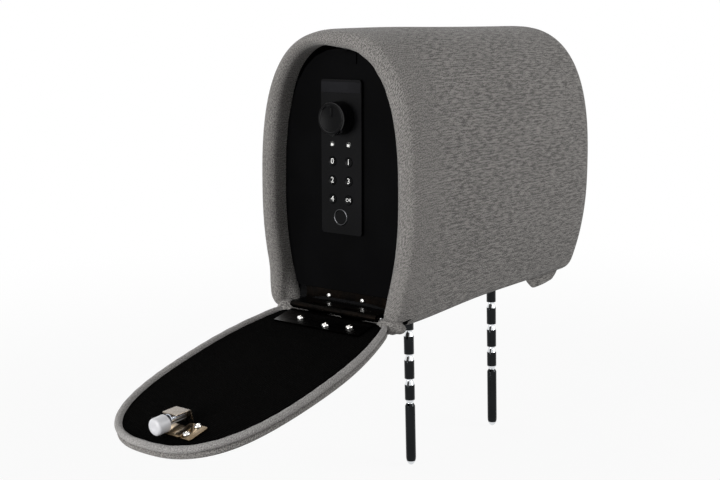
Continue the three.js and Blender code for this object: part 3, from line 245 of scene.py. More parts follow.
# Woven cover cloth: rows along the first direction of the cloth map, knots of the weave and uneven threads
def woven_cloth(name, tone, rows=1.0, knots=1.0):
    cloth = Finish(name)
    lay = cloth.cloth_map()
    u = cloth.axis(lay, 0)
    v = cloth.axis(lay, 1)
    wander = cloth.noise(lay, 60, 2) * 0.0011
    lines = ((v + wander) * (2 * math.pi / 0.0023)).sin()
    shown = cloth.noise(cloth.stretch(lay, (26, 60, 1)), 1.0, 2, 0.5).rise(0.36, 0.64)
    dots = ((u + wander) * (2 * math.pi / 0.0016)).sin() * ((v + u * 0.4) * (2 * math.pi / 0.0014)).sin()
    grain = cloth.noise(lay, 880, 1, 0.6) - 0.5
    threads = cloth.noise(cloth.stretch(lay, (100, 460, 1)), 1.0, 2, 0.6) - 0.5
    cloudy = cloth.noise(cloth.stretch(lay, (12, 30, 1)), 1.0, 2, 0.5) - 0.5
    drawn = u.rise(0.035, 0.11) * (1.9 * rows) + 0.5 * rows
    weave = lines * shown * (0.15 * rows) + dots * (0.12 * knots) + grain * (2.6 * knots) + threads * drawn
    shade = weave + cloudy * 0.25 + 0.5
    colour = cloth.mix(shade.rise(0.1, 0.9), tuple(c * 0.5 for c in tone), tuple(c * 1.6 for c in tone))
    return cloth.close(
        Base_Color=colour,
        Roughness=0.92,
        Specular_IOR_Level=0.2,
        Sheen_Weight=0.12,
        Sheen_Roughness=0.45,
        Normal=cloth.bump(weave, 0.0005, 0.7),
    )


# Black loop cloth with fine ribs
def loop_cloth():
    cloth = Finish("loop_cloth")
    lay = cloth.places()
    turned = cloth.stretch(lay, turn=(0, 0, math.radians(8)))
    across = cloth.axis(turned, 1)
    wander = cloth.noise(lay, 160, 2)
    ribs = ((across + wander * 0.0010) * (2 * math.pi / 0.0026)).sin() * 0.5 + 0.5
    tufts = cloth.noise(cloth.stretch(turned, (420, 900, 600)), 1.0, 3, 0.7)
    loops = cloth.node(
        "ShaderNodeTexVoronoi", {"feature": "F1"}, {"Vector": cloth.stretch(turned, (520, 760, 600)), "Scale": 1.0}
    )
    shade = (ribs * 0.5 + tufts * 0.9 - loops * 0.35).rise(0.2, 1.15)
    colour = cloth.mix(shade, (0.0002, 0.0002, 0.0002), (0.0058, 0.0056, 0.0054))
    height = ribs * 0.6 + tufts * 0.8 - loops * 0.5
    return cloth.close(
        Base_Color=colour,
        Roughness=1.0,
        Specular_IOR_Level=0.008,
        Normal=cloth.bump(height, 0.0009, 1.0),
    )


# Open-cell foam
def cell_foam():
    foam = Finish("cell_foam")
    lay = foam.places()
    cells = foam.node("ShaderNodeTexVoronoi", {"feature": "F1"}, {"Vector": lay, "Scale": 700.0})
    patches = foam.noise(lay, 35, 3)
    colour = foam.mix(cells.rise(0.1, 0.8), (0.008, 0.008, 0.0085), (0.003, 0.003, 0.0032))
    tinted = foam.mix(patches.rise(0.35, 0.7), colour, (0.005, 0.005, 0.0052))
    pits = foam.bump(cells, 0.0005, 0.8)
    return foam.close(Base_Color=tinted, Roughness=0.98, Specular_IOR_Level=0.02, Normal=pits)


# Powder-coated or blackened steel and moulded black plastic
def dark_coat(name, tone, rough, grain, depth, level):
    coat = Finish(name)
    lay = coat.places()
    speck = coat.noise(lay, grain, 2, 0.6)
    patches = coat.noise(lay, 22, 3, 0.5)
    rubbed = coat.noise(lay, 150, 4, 0.7).rise(0.62, 0.8)
    pale = tuple(c * 2.6 for c in tone)
    colour = coat.mix(patches.rise(0.3, 0.75) * 0.5 + rubbed * 0.4, tone, pale)
    roughness = patches * 0.12 + speck * 0.1 + (rough - 0.11)
    return coat.close(
        Base_Color=colour,
        Roughness=roughness,
        Specular_IOR_Level=level,
        Normal=coat.bump(speck, depth, 0.5),
    )


# Plated or drawn metal with brush lines along one axis
def brushed_metal(name, tone, rough, along, lines, stain=None):
    metal = Finish(name)
    lay = metal.places()
    drawn = metal.noise(metal.stretch(lay, along), 1.0, 3, 0.6)
    patches = metal.noise(lay, 60, 3, 0.5)
    smudge = metal.noise(lay, 260, 3, 0.6).rise(0.5, 0.75)
    worn = stain or tuple(c * 0.72 for c in tone)
    colour = metal.mix(patches.rise(0.35, 0.7) * 0.5 + smudge * 0.25, tone, worn)
    roughness = drawn * 0.12 + smudge * 0.1 + (rough - 0.08)
    return metal.close(
        Base_Color=colour,
        Metallic=1.0,
        Roughness=roughness,
        Normal=metal.bump(drawn, lines, 0.6),
    )


# Printed board: green mask with paler tracks
def printed_board():
    board = Finish("printed_board")
    lay = board.places()
    cells = board.node("ShaderNodeTexVoronoi", {"distance": "MANHATTAN"}, {"Vector": lay, "Scale": 260.0})
    tracks = (board.axis(lay, 1) * (2 * math.pi / 0.0022)).sin().rise(0.55, 0.75) * cells.rise(0.3, 0.5)
    patches = board.noise(lay, 90, 2)
    mask = board.mix(patches.rise(0.3, 0.7), (0.012, 0.075, 0.03), (0.018, 0.10, 0.042))
    colour = board.mix(tracks, mask, (0.06, 0.20, 0.09))
    raised = board.bump(tracks, 0.00005, 0.6)
    return board.close(Base_Color=colour, Roughness=0.42, Coat_Weight=0.3, Normal=raised)


# Moulded white nylon, soiled a little
def white_plastic(name, tone, rough):
    plastic = Finish(name)
    lay = plastic.places()
    flow = plastic.noise(plastic.stretch(lay, (120, 120, 500)), 1.0, 3, 0.5)
    speck = plastic.noise(lay, 900, 2, 0.5)
    grime = plastic.noise(lay, 110, 4, 0.65).rise(0.55, 0.85)
    colour = plastic.mix(grime * 0.45 + flow * 0.1, tone, tuple(c * 0.72 for c in tone))
    return plastic.close(
        Base_Color=colour,
        Roughness=flow * 0.1 + (rough - 0.05),
        Subsurface_Weight=0.08,
        Subsurface_Radius=(0.002, 0.002, 0.002),
        Normal=plastic.bump(speck, 0.00004, 0.5),
    )


# Printed marks on the keys and the panel, which also glow a little: a painted light that lifts the print
def white_print():
    ink = Finish("white_print")
    lay = ink.places()
    worn = ink.noise(lay, 2200, 3, 0.6)
    colour = ink.mix(worn.rise(0.45, 0.8), (0.62, 0.62, 0.60), (0.36, 0.36, 0.35))
    # The emission is painted light: the print glows though it is no lamp
    return ink.close(Base_Color=colour, Roughness=0.6, Emission_Color=colour, Emission_Strength=0.12)


COVER = woven_cloth("cover_cloth", (0.150, 0.143, 0.136))
ROLL = woven_cloth("roll_cloth", (0.200, 0.193, 0.187), 0.2, 0.5)
LOOPS = loop_cloth()
FOAM = cell_foam()
COATED = dark_coat("powder_coated_steel", (0.0009, 0.0009, 0.0010), 0.62, 2400, 0.00006, 0.015)
PLASTIC = dark_coat("moulded_black_plastic", (0.0012, 0.0012, 0.0014), 0.40, 3200, 0.00003, 0.045)
GLOSS = dark_coat("glossy_black", (0.0020, 0.0020, 0.0024), 0.16, 3000, 0.00001, 0.35)
WINDOW = dark_coat("smoked_window", (0.0045, 0.0045, 0.0052), 0.22, 3000, 0.00001, 0.05)
RING = brushed_metal("dark_ring", (0.05, 0.05, 0.053), 0.2, (900, 900, 900), 0.00002)
# Two copies of one chrome for the posts: a dark copy on the shafts, a painted dark reflection, and a bright copy
# on the necks and tip, a painted highlight
CHROME_PAINTED_DARK_REFLECTION = brushed_metal("dark_chrome", (0.016, 0.017, 0.018), 0.12, (900, 900, 40), 0.00001)
CHROME_PAINTED_HIGHLIGHT = brushed_metal("bright_chrome", (0.74, 0.76, 0.78), 0.10, (900, 900, 40), 0.00001)
NICKEL = brushed_metal("warm_nickel", (0.26, 0.225, 0.19), 0.26, (60, 900, 900), 0.00003, (0.17, 0.135, 0.095))
BLUED = brushed_metal("blue_white_zinc", (0.66, 0.70, 0.78), 0.3, (60, 900, 900), 0.00003)
BRASSED = brushed_metal("yellow_zinc", (0.22, 0.165, 0.10), 0.22, (300, 900, 900), 0.00008, (0.05, 0.03, 0.016))
SCREW = brushed_metal("bright_screw", (0.80, 0.79, 0.77), 0.14, (900, 900, 900), 0.00002)
ZINC = brushed_metal("plain_zinc", (0.42, 0.43, 0.44), 0.34, (60, 900, 900), 0.00003)
LEAF = brushed_metal("browned_leaf", (0.003, 0.0027, 0.0025), 0.3, (900, 60, 900), 0.00004, (0.009, 0.006, 0.0042))
BOARD = printed_board()
NYLON = white_plastic("white_nylon", (0.44, 0.44, 0.455), 0.4)
INK_PAINTED_GLOW = white_print()


# Half breadth of the padded form at a height, drawn in by an inset
def flank(z, inset):
    return HALF_DEPTH - inset - BOTTOM_TAPER * ((SHOULDER - z) / SHOULDER) ** FLANK_POWER


# Points evenly spread along a line of points, and the line's length
def spread(line, steps):
    line = np.array(line)
    run = np.concatenate([[0], np.cumsum(np.linalg.norm(np.diff(line, axis=0), axis=1))])
    places = np.linspace(0, run[-1], steps + 1)
    across, up = (np.interp(places, run, line[:, column]) for column in (0, 1))
    return [(float(a), float(b), float(p)) for a, b, p in zip(across, up, places)]


# Cross-section of the padded form, round from the middle of its bottom towards +Y.
# Each point has its y, its z and its way round from the middle of the top.
def section(inset, low=None, corner=None):
    low = inset if low is None else low
    corner = max(11 - inset, 4.0) if corner is None else corner
    lean = math.atan(flank(low + corner, inset) - flank(low + corner - 1, inset))
    start = low + corner * (1 - math.sin(lean))
    centre = flank(start, inset) - corner * math.cos(lean)
    bottom = [(0.0, low)]
    for turn in np.linspace(math.pi / 2, lean, 13):
        bottom.append((centre + corner * math.cos(turn), low + corner * (1 - math.sin(turn))))
    side = [(flank(z, inset), z) for z in np.linspace(start, SHOULDER, 40)]
    rise = BODY_TOP - inset - SHOULDER
    for turn in np.linspace(0, math.pi / 2, 121)[1:-1]:
        breadth = (HALF_DEPTH - inset) * math.cos(turn) ** (2 / CROWN_POWER)
        side.append((breadth, SHOULDER + rise * math.sin(turn) ** (2 / CROWN_POWER)))
    side.append((0.0, BODY_TOP - inset))
    bottom = spread(bottom, BOTTOM_STEPS)
    side = spread(side, SIDE_STEPS)
    full = bottom[-1][2] + side[-1][2]
    half = [(y, z, way - full) for y, z, way in bottom]
    half += [(y, z, way + bottom[-1][2] - full) for y, z, way in side[1:]]
    return half + [(-y, z, -way) for y, z, way in reversed(half[1:-1])]


def edges_of(verts):
    kept = set(verts)
    return list({edge for vert in verts for edge in vert.link_edges if kept.issuperset(edge.verts)})


def verts_in(geom):
    return [part for part in geom if isinstance(part, bmesh.types.BMVert)]


# A padded form grown ring by ring, which remembers where the cloth lies on it
class Shell:
    def __init__(self):
        self.mesh = bmesh.new()
        self.cloth = self.mesh.loops.layers.uv.new("cloth")
        self.rings = []
        self.spots = {}
        self.insets = {}
        self.run = 0.0
        self.last = None

    def grow(self, x, inset, points):
        if self.last is not None:
            self.run += math.dist(self.last, (x, inset))
        self.last = (x, inset)
        ring = bmesh.ops.create_circle(self.mesh, segments=len(points), radius=1)["verts"]
        for vert, (y, z, way) in zip(ring, points):
            vert.co = (x, y, z)
            self.spots[vert] = (self.run, way)
            self.insets[vert] = inset
        if self.rings:
            bmesh.ops.bridge_loops(self.mesh, edges=edges_of(self.rings[-1]) + edges_of(ring))
        self.rings.append(ring)

    def close(self, both=False):
        for ring in self.rings[:int(both)] + self.rings[-1:]:
            bmesh.ops.contextual_create(self.mesh, geom=edges_of(ring))

    # The cloth map runs along the form and round it, and lies flat on an end and on what was added
    def lay_cloth(self, low, high):
        for face in self.mesh.faces:
            x = face.calc_center_median().x
            flat = not low < x < high or any(vert not in self.spots for vert in face.verts)
            ways = [0.0] if flat else [self.spots[vert][1] for vert in face.verts]
            wraps = max(ways) - min(ways) > 300
            for loop in face.loops:
                if flat:
                    spot = (loop.vert.co.z + loop.vert.co.x, loop.vert.co.y)
                else:
                    spot = self.spots[loop.vert]
                    if wraps and spot[1] < 0:
                        spot = (spot[0], -spot[1])
                loop[self.cloth].uv = (spot[0] / 1000, spot[1] / 1000)


def finish_mesh(mesh, name, place, materials, smooth=True):
    bmesh.ops.transform(mesh, matrix=place, verts=mesh.verts)
    bmesh.ops.recalc_face_normals(mesh, faces=mesh.faces)
    data = bpy.data.meshes.new(name)
    mesh.to_mesh(data)
    mesh.free()
    piece = bpy.data.objects.new(name, data)
    bpy.context.scene.collection.objects.link(piece)
    for material in materials:
        data.materials.append(material)
    for polygon in data.polygons:
        polygon.use_smooth = smooth
    return piece


def subdivide(piece):
    modifier = piece.modifiers.new("smooth", "SUBSURF")
    modifier.levels = modifier.render_levels = 1
    modifier.uv_smooth = "PRESERVE_BOUNDARIES"


# Sharp edges stay sharp where a mesh turns by more than an angle
def shade_by_angle(piece, degrees=35):
    limit = math.radians(degrees)
    mesh = bmesh.new()
    mesh.from_mesh(piece.data)
    for edge in mesh.edges:
        edge.smooth = len(edge.link_faces) == 2 and edge.calc_face_angle(0) < limit
    mesh.to_mesh(piece.data)
    mesh.free()


def bump_at(value, centre, width):
    return math.exp(-(((value - centre) / width) ** 2))


# From 0 to 1 as a value goes from a low to a high one, smoothly
def ease(value, low, high):
    share = min(1.0, max(0.0, (value - low) / (high - low)))
    return share * share * (3 - 2 * share)


# Cover of the body: from beside the steel front out over the lip, and along to the far end
def make_cover():
    shell = Shell()
    front = [(-141.2, 16.9, 1.5), (-146.5, 17.0, 1.5), (-151.0, 17.1, 1.5)]
    for degrees in (90, 72, 54, 36, 18, 0, -18, -36, -54):
        turn = math.radians(degrees)
        front.append((RIM_X - RIM * math.cos(turn), RIM + 0.7 + RIM * math.sin(turn), 3.5 - degrees / 45))
    front += [(-158.6, 1.75, 5.5), (-154.6, 0.85, 6.5), (-151.2, 0.3, 7.5), (-147.5, 0.0, 9.0)]
    for x, inset, corner in front:
        shell.grow(x, inset, section(inset, 0.4, corner))
    for x in (-132, -112, -88, -60, -30, 0, 30, 60, 88, 112, 132):
        inset = -0.6 * math.sin(math.pi * (x + 147) / 294)
        shell.grow(x, inset, section(inset))
    for degrees in (2, 12, 22, 30, 34, 37, 40, 50, 62, 74, 84):
        turn = math.radians(degrees)
        seam = 1.2 if degrees == 37 else 0.0
        inset = END_ROUND * (1 - math.cos(turn)) + seam
        shell.grow(HALF_LENGTH - END_ROUND * (1 - math.sin(turn)) - seam, inset, section(inset))
    for bulge, inset in ((0.6, 40), (1.4, 52), (1.9, 62), (2.1, 68)):
        shell.grow(HALF_LENGTH + bulge, inset, section(inset, corner=4.0))
    shell.close()
    open_mouth(shell, len(front))
    shell.lay_cloth(-500, 165.0)
    shape_cover(shell)
    foam = shell.mesh.copy()
    return finish_mesh(shell.mesh, "cover", BODY_PLACE, [COVER, LOOPS]), hollow_foam(foam)


# Foam that fills the cover: the cover's form drawn in, and its open edge led back into a hollow for the safe
def hollow_foam(mesh):
    bmesh.ops.recalc_face_normals(mesh, faces=mesh.faces)
    mesh.normal_update()
    for vert in mesh.verts:
        vert.co -= vert.normal * FOAM_DEPTH
    rim = [edge for edge in mesh.edges if edge.is_boundary]
    led = bmesh.ops.extrude_edge_only(mesh, edges=rim)["geom"]
    wall = verts_in(led)
    for vert in wall:
        _, y, z = vert.co
        z = max(z, HOLLOW_INSET)
        reach = flank(min(z, SHOULDER), HOLLOW_INSET)
        vert.co = (HOLLOW_START, max(-reach, min(reach, y)), z)
    back = verts_in(bmesh.ops.extrude_edge_only(mesh, edges=edges_of(wall))["geom"])
    bmesh.ops.translate(mesh, verts=back, vec=(HOLLOW_END - HOLLOW_START, 0, 0))
    bmesh.ops.contextual_create(mesh, geom=edges_of(back))
    return finish_mesh(mesh, "foam_form", BODY_PLACE, [FOAM])


# The rim has no band along the bottom, where the hinge is: its two ends are closed, and
# the underside's edge turns in
def open_mouth(shell, count):
    mesh = shell.mesh
    under = set()
    for ring in shell.rings[:count]:
        under.update(ring[:BOTTOM_STEPS + 1] + ring[-BOTTOM_STEPS:])
    gone = [face for face in mesh.faces if all(vert in under for vert in face.verts)]
    bmesh.ops.delete(mesh, geom=gone, context="FACES")
    for side in (1, -1):
        for step, share in ((0, 0.6), (1, 0.3), (2, 0.1)):
            end = [ring[side * (BOTTOM_STEPS + step)] for ring in shell.rings[:count]]
            middle = sum((vert.co for vert in end), Vector()) / len(end)
            for vert in end:
                vert.co += (middle - vert.co) * share * ease(-vert.co.x, 146, 154)
            if step == 0:
                mesh.edges.new((end[0], end[-1]))
                bmesh.ops.contextual_create(mesh, geom=edges_of(end))
    last = shell.rings[count - 1]
    edge = edges_of(last[:BOTTOM_STEPS + 1] + last[-BOTTOM_STEPS:])
    turned = bmesh.ops.extrude_edge_only(mesh, edges=edge)["geom"]
    bmesh.ops.translate(mesh, verts=verts_in(turned), vec=(1.5, 0, 7))
    for face in turned:
        if isinstance(face, bmesh.types.BMFace):
            face.material_index = 1


# Slack and folds of the cover, as small moves of its points
def shape_cover(shell):
    shell.mesh.normal_update()
    for vert in shell.mesh.verts:
        x, y, z = vert.co
        push = 0.0
        if -140 < x < 150:
            push += 0.6 * math.sin(x / 41 + 0.6) * math.sin(z / 33 + (1 if y > 0 else 0)) * min(1, z / 60)
        if x < -150:
            around = math.atan2(y, z - 130)
            top = bump_at(around, -0.45, 0.35)
            push += 0.16 * math.sin(around * 64) * (0.35 + top)
            push += 0.3 * top * math.sin(around * 31 + x * 0.3)
        if x < -140 and z < 30:
            push += 0.4 * math.sin(z * 0.5 + x * 0.2) * bump_at(z, 10, 14)
        vert.co += vert.normal * push
        rim = ease(-x, 146, 156)
        # the rim is fuller on the near side, thinner at the far shoulder, and full at the far foot
        inward = ease(shell.insets.get(vert, 0), 2, 17) * (x < -140.9)
        vert.co.y += NEAR_FULLNESS * inward * ease(-y, -50, 40)
        thin = FAR_THINNESS * inward * ease(y, -14, 36) * ease(z, 168, 232)
        vert.co += Vector((0, y, z - SHOULDER)).normalized() * thin
        vert.co.y += FAR_FOOT * rim * ease(y, 20, 50) * ease(-z, -42, 4)
        # its feet reach down to the lid, and the underside sags towards them
        foot = ease(abs(y), 25, 58)
        vert.co.z -= FOOT_DROP * rim * foot * ease(-z, -34, 0)
        if x > -160:
            vert.co.z -= UNDERSIDE_SAG * foot * ease(-z, -45, -4) * ease(-x, 0, 146) * (1 - rim)


cover, foam = make_cover()
subdivide(cover)
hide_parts("fabric_cover")
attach(cover, "headrest")
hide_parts("foam_core")
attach(foam, "headrest")


# A ring of the lid in its closed place. It hardly grows at the hinge.
def lid_ring(inset):
    drawn = inset - LID_INSET
    return section(inset, LID_LOW + drawn * (1 if drawn > 0 else 0.3), max(LID_CORNER - drawn, 4.0))


# Padded cover of the lid: a smooth rolled edge, a sunk seam and a crowned back
def make_lid_cover():
    shell = Shell()
    roll = 3.1
    profile = []
    for degrees in range(-10, 245, 25):
        turn = math.radians(degrees)
        profile.append((-0.4 - roll * math.sin(turn), 12.4 + roll * math.cos(turn)))
    smooth = len(profile)
    profile += [(2.7, 11.9), (3.1, 12.3), (3.5, 11.8), (4.2, 10.5)]
    profile += [(5.6, 9.9), (7.2, 10.4), (8.8, 12.4), (10.4, 16.2)]
    profile += [(12.0, 22.5), (13.2, 31.0), (14.1, 42.0), (14.6, 52.0), (14.9, 60.0), (15.0, 66.0)]
    for depth, inset in profile:
        shell.grow(LINER_X - depth, inset, lid_ring(inset))
    shell.close()
    shell.lay_cloth(LINER_X - 9.5, 0)
    rolled = {vert for ring in shell.rings[:smooth + 1] for vert in ring}
    for face in shell.mesh.faces:
        face.material_index = int(all(vert in rolled for vert in face.verts))
    for (depth, _), ring in zip(profile, shell.rings):
        for vert in ring:
            _, y, z = vert.co
            if depth > 5:
                vert.co.x += 0.4 * math.sin(y / 17) * math.sin(z / 21)
            else:
                vert.co.x += 0.16 * math.sin(math.atan2(y, z - 130) * 37)
                vert.co.x -= 5.0 * ease(-z, -14, -4) * ease(-abs(y), -66, -52)
    return finish_mesh(shell.mesh, "lid_pad", LID_PLACE, [COVER, ROLL])


lid_pad = make_lid_cover()
subdivide(lid_pad)
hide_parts("lid_cover")
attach(lid_pad, "lid")
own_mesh(lid_pad)


# Loop cloth that lines the lid, tucked under the roll
def make_liner():
    shell = Shell()
    for depth, inset in ((1.0, 14.6), (0.3, 15.0), (0.0, 16.0), (0.0, 19), (0.05, 40), (0.0, 60)):
        shell.grow(LINER_X - depth, inset, lid_ring(inset))
    shell.close()
    return finish_mesh(shell.mesh, "loop_liner", LID_PLACE, [LOOPS])


liner = make_liner()
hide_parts("lid_liner")
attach(liner, "lid")


# Foam of the lid, crowned towards the back
def make_filling():
    shell = Shell()
    front, back = FILLING_FRONT, FILLING_BACK
    profile = [(front, 1.2), (front + 0.5, 0.3), ((front + back) / 2, 0.0), (back - 0.8, 0.6), (back - 0.2, 2.5)]
    profile += [(back, 6), (back + 0.4, 14), (back + 0.7, 26), (back + 0.8, 38)]
    for depth, drawn in profile:
        shell.grow(LINER_X - depth, FILLING_INSET + drawn, lid_ring(FILLING_INSET + drawn))
    shell.close(both=True)
    return finish_mesh(shell.mesh, "lid_filling", LID_PLACE, [FOAM])


filling = make_filling()
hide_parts("lid_foam")
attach(filling, "lid")


# Foam mat on the drawer's floor: soft edges, and sides pulled in between its corners
def make_mat():
    shell = Shell()
    for x, share in (
        (-105, 0.93), (-104.6, 0.975), (-103.5, 1.0), (-70, 0.992), (-30, 0.985), (0, 0.983), (35, 0.985),
        (75, 0.992), (109, 1.0), (110.1, 0.975), (110.5, 0.93),
    ):
        ring = []
        for spot in range(96):
            turn = 2 * math.pi * (spot + 0.5) / 96
            y, z = math.cos(turn), math.sin(turn)
            y = MAT_HALF * share * math.copysign(abs(y) ** 0.13, y)
            z = MAT_MIDDLE + MAT_HALF_THICKNESS * share * math.copysign(abs(z) ** 0.4, z)
            ring.append((y, z, spot))
        shell.grow(x, 0, ring)
    shell.close(both=True)
    return finish_mesh(shell.mesh, "drawer_mat", BODY_PLACE, [FOAM])


mat = make_mat()
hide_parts("tray_liner")
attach(mat, "drawer")


# Gathered cloth under the hinge, from the body's underside to the lid's lower edge
def make_gather():
    shell = Shell()
    half = 76
    for step in range(77):
        y = -half + 2 * half * step / 76
        close = min(1.0, (1 - abs(y / half) ** 14) ** 0.5) if abs(y) < half else 0.02
        corner = bump_at(abs(y), 61, 13)
        full = close * (0.72 + 0.48 * corner)
        ring = []
        for spot in range(16):
            turn = 2 * math.pi * spot / 16
            fold = 1 + 0.10 * math.sin(y * 0.9 + math.sin(y * 0.21) * 2 + 1.4 * math.sin(turn))
            across = -153.8 - 3.5 * corner + 8.6 * full * fold * math.cos(turn)
            ring.append((across, -6.6 + 3.6 * corner + (6.0 + corner) * full * fold * math.sin(turn), spot * 2.9))
        shell.grow(y, 0, ring)
    shell.close(both=True)
    shell.lay_cloth(-500, 500)
    # grown along X, then swapped so that it runs along Y
    swapped = Matrix(((0, 1, 0, 0), (1, 0, 0, 0), (0, 0, 1, 0), (0, 0, 0, 1)))
    return finish_mesh(shell.mesh, "hinge_gather", BODY_PLACE @ swapped, [COVER])


gather = make_gather()
subdivide(gather)
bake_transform(gather)


# Edges from point to point of an open line
def line_of(mesh, points):
    verts = [mesh.verts.new(point) for point in points]
    return verts, [mesh.edges.new(pair) for pair in zip(verts, verts[1:])]


# A round piece turned about an axis from [radius, place on the axis] points
def turned(profile, axis, steps):
    mesh = bmesh.new()
    points = [(along, 0, radius) if axis[0] else (radius, 0, along) for radius, along in profile]
    verts, edges = line_of(mesh, points)
    around = {"cent": (0, 0, 0), "axis": axis, "angle": 2 * math.pi, "steps": steps}
    bmesh.ops.spin(mesh, geom=verts + edges, use_merge=True, **around)
    bmesh.ops.remove_doubles(mesh, verts=mesh.verts, dist=0.001)
    return mesh


# A round piece of the panel, turned about a line along X
def turned_x(profile, y, z, steps):
    mesh = turned(profile, (1, 0, 0), steps)
    bmesh.ops.translate(mesh, verts=mesh.verts, vec=(0, y, z))
    return mesh


# Posts turned finely, with the four notches and the bullet tip
def make_post(name, node, x):
    profile = [(0.0, -6.5), (3.4, -6.5), (3.4, 12.3), (11, 12.3), (11, 10.0), (10.7, 9.7), (5, 9.7)]
    for drop in (31.6, 55.8, 80.5):
        top = -drop + 2.6
        profile += [(5, top + 0.25), (4.86, top), (3.45, top - 0.12), (3.3, top - 0.3), (3.3, top - 2.2)]
        profile += [(3.42, top - 2.5), (4.9, top - 6.15), (5, top - 6.5)]
    profile += [(5, -98.9), (4.9, -99.3), (3.4, -101.9), (3.3, -102.1)]
    profile += [(3.3, -102.7), (3.4, -102.9), (4.9, -105.5), (5, -105.9)]
    for degrees in (90, 76, 62, 48, 34, 22, 11):
        turn = math.radians(degrees)
        profile.append((5 * math.sin(turn), -166.4 + 8.4 * (1 - math.cos(turn))))
    profile.append((0.0, -166.4))
    mesh = turned(profile, (0, 0, 1), 56)
    place = BODY_PLACE @ Matrix.Translation((x, -BODY_SHIFT, 0)) @ Matrix.Rotation(-POST_RAKE, 4, "X")
    # The necks and the tip take the bright chrome, a painted highlight; the shafts take the dark chrome, a painted
    # dark reflection
    for face in mesh.faces:
        middle = face.calc_center_median()
        face.material_index = int(-104 < middle.z < -20 and middle.xy.length < 4.8 or middle.z < -161)
    post = finish_mesh(mesh, name, place, [CHROME_PAINTED_DARK_REFLECTION, CHROME_PAINTED_HIGHLIGHT])
    shade_by_angle(post, 32)
    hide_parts(node)
    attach(post, "headrest")


make_post("notched_post_near", "post_near", -POST_X)
make_post("notched_post_far", "post_far", POST_X)


# Screw with a domed head and a cross recess, its head on +X and its foot towards -X
def make_screw(name, node, body, place, head, shank, length, tall):
    profile = [(0.0, -length), (shank, -length + 0.4), (shank, 0.0), (head, 0.0), (head, tall * 0.3)]
    for degrees in (30, 50, 70, 90):
        turn = math.radians(degrees)
        profile.append((head * math.cos(turn) * 0.98, tall * (0.3 + 0.7 * math.sin(turn))))
    mesh = turned(profile, (1, 0, 0), 24)
    bars = []
    for turn in (0, math.pi / 2):
        tool = bmesh.new()
        bmesh.ops.create_cube(tool, size=1)
        bmesh.ops.scale(tool, vec=(tall * 1.4, head * 1.04, head * 0.22), verts=tool.verts)
        bmesh.ops.rotate(tool, matrix=Matrix.Rotation(turn + 0.4, 3, "X"), verts=tool.verts)
        bmesh.ops.translate(tool, vec=(tall * 1.15, 0, 0), verts=tool.verts)
        bars.append(finish_mesh(tool, "recess", Matrix.Identity(4), []))
    screw = finish_mesh(mesh, name, Matrix.Identity(4), [SCREW])
    for bar in bars:
        modifier = screw.modifiers.new("recess", "BOOLEAN")
        modifier.operation = "DIFFERENCE"
        modifier.solver = "EXACT"
        modifier.object = bar
    keep_shape(screw)
    for bar in bars:
        bpy.data.objects.remove(bar)
    screw.data.transform(place)
    shade_by_angle(screw, 40)
    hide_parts(node)
    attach(screw, body)


# Applies a piece's modifiers to its mesh
def keep_shape(piece):
    graph = bpy.context.evaluated_depsgraph_get()
    graph.update()
    data = bpy.data.meshes.new_from_object(piece.evaluated_get(graph))
    piece.modifiers.clear()
    piece.data = data


def at_lid(x, y, z):
    return LID_PLACE @ Matrix.Translation((x, y, z))


for index, (y, z) in enumerate(((26, 21.6), (-7.6, 26.5), (-32, 22)), 1):
    place = at_lid(LINER_X + 2.4, y, z)
    make_screw(f"leaf_screw_{index}", f"lid_screw_{index}", "lid", place, 3.5, 2, 8.3, 2.4)
for index in (1, 2):
    place = at_lid(LINER_X + 2.1, LATCH_Y - 18.5, LATCH_Z - 6 + 13 * index)
    name = f"latch_plate_screw_{index}"
    make_screw(name, f"latch_screw_{index}", "lid", place, 3.1, 1.5, 6.5, 1.8)
for label, y in (("left", 22), ("right", -18)):
    place = BODY_PLACE @ Matrix.Translation((-143.1, y, 11)) @ Matrix.Rotation(math.pi, 4, "Z")
    name = f"frame_screw_{label}"
    make_screw(name, f"hinge_screw_{label}", "headrest", place, 2.5, 1.5, 4.2, 1.5)


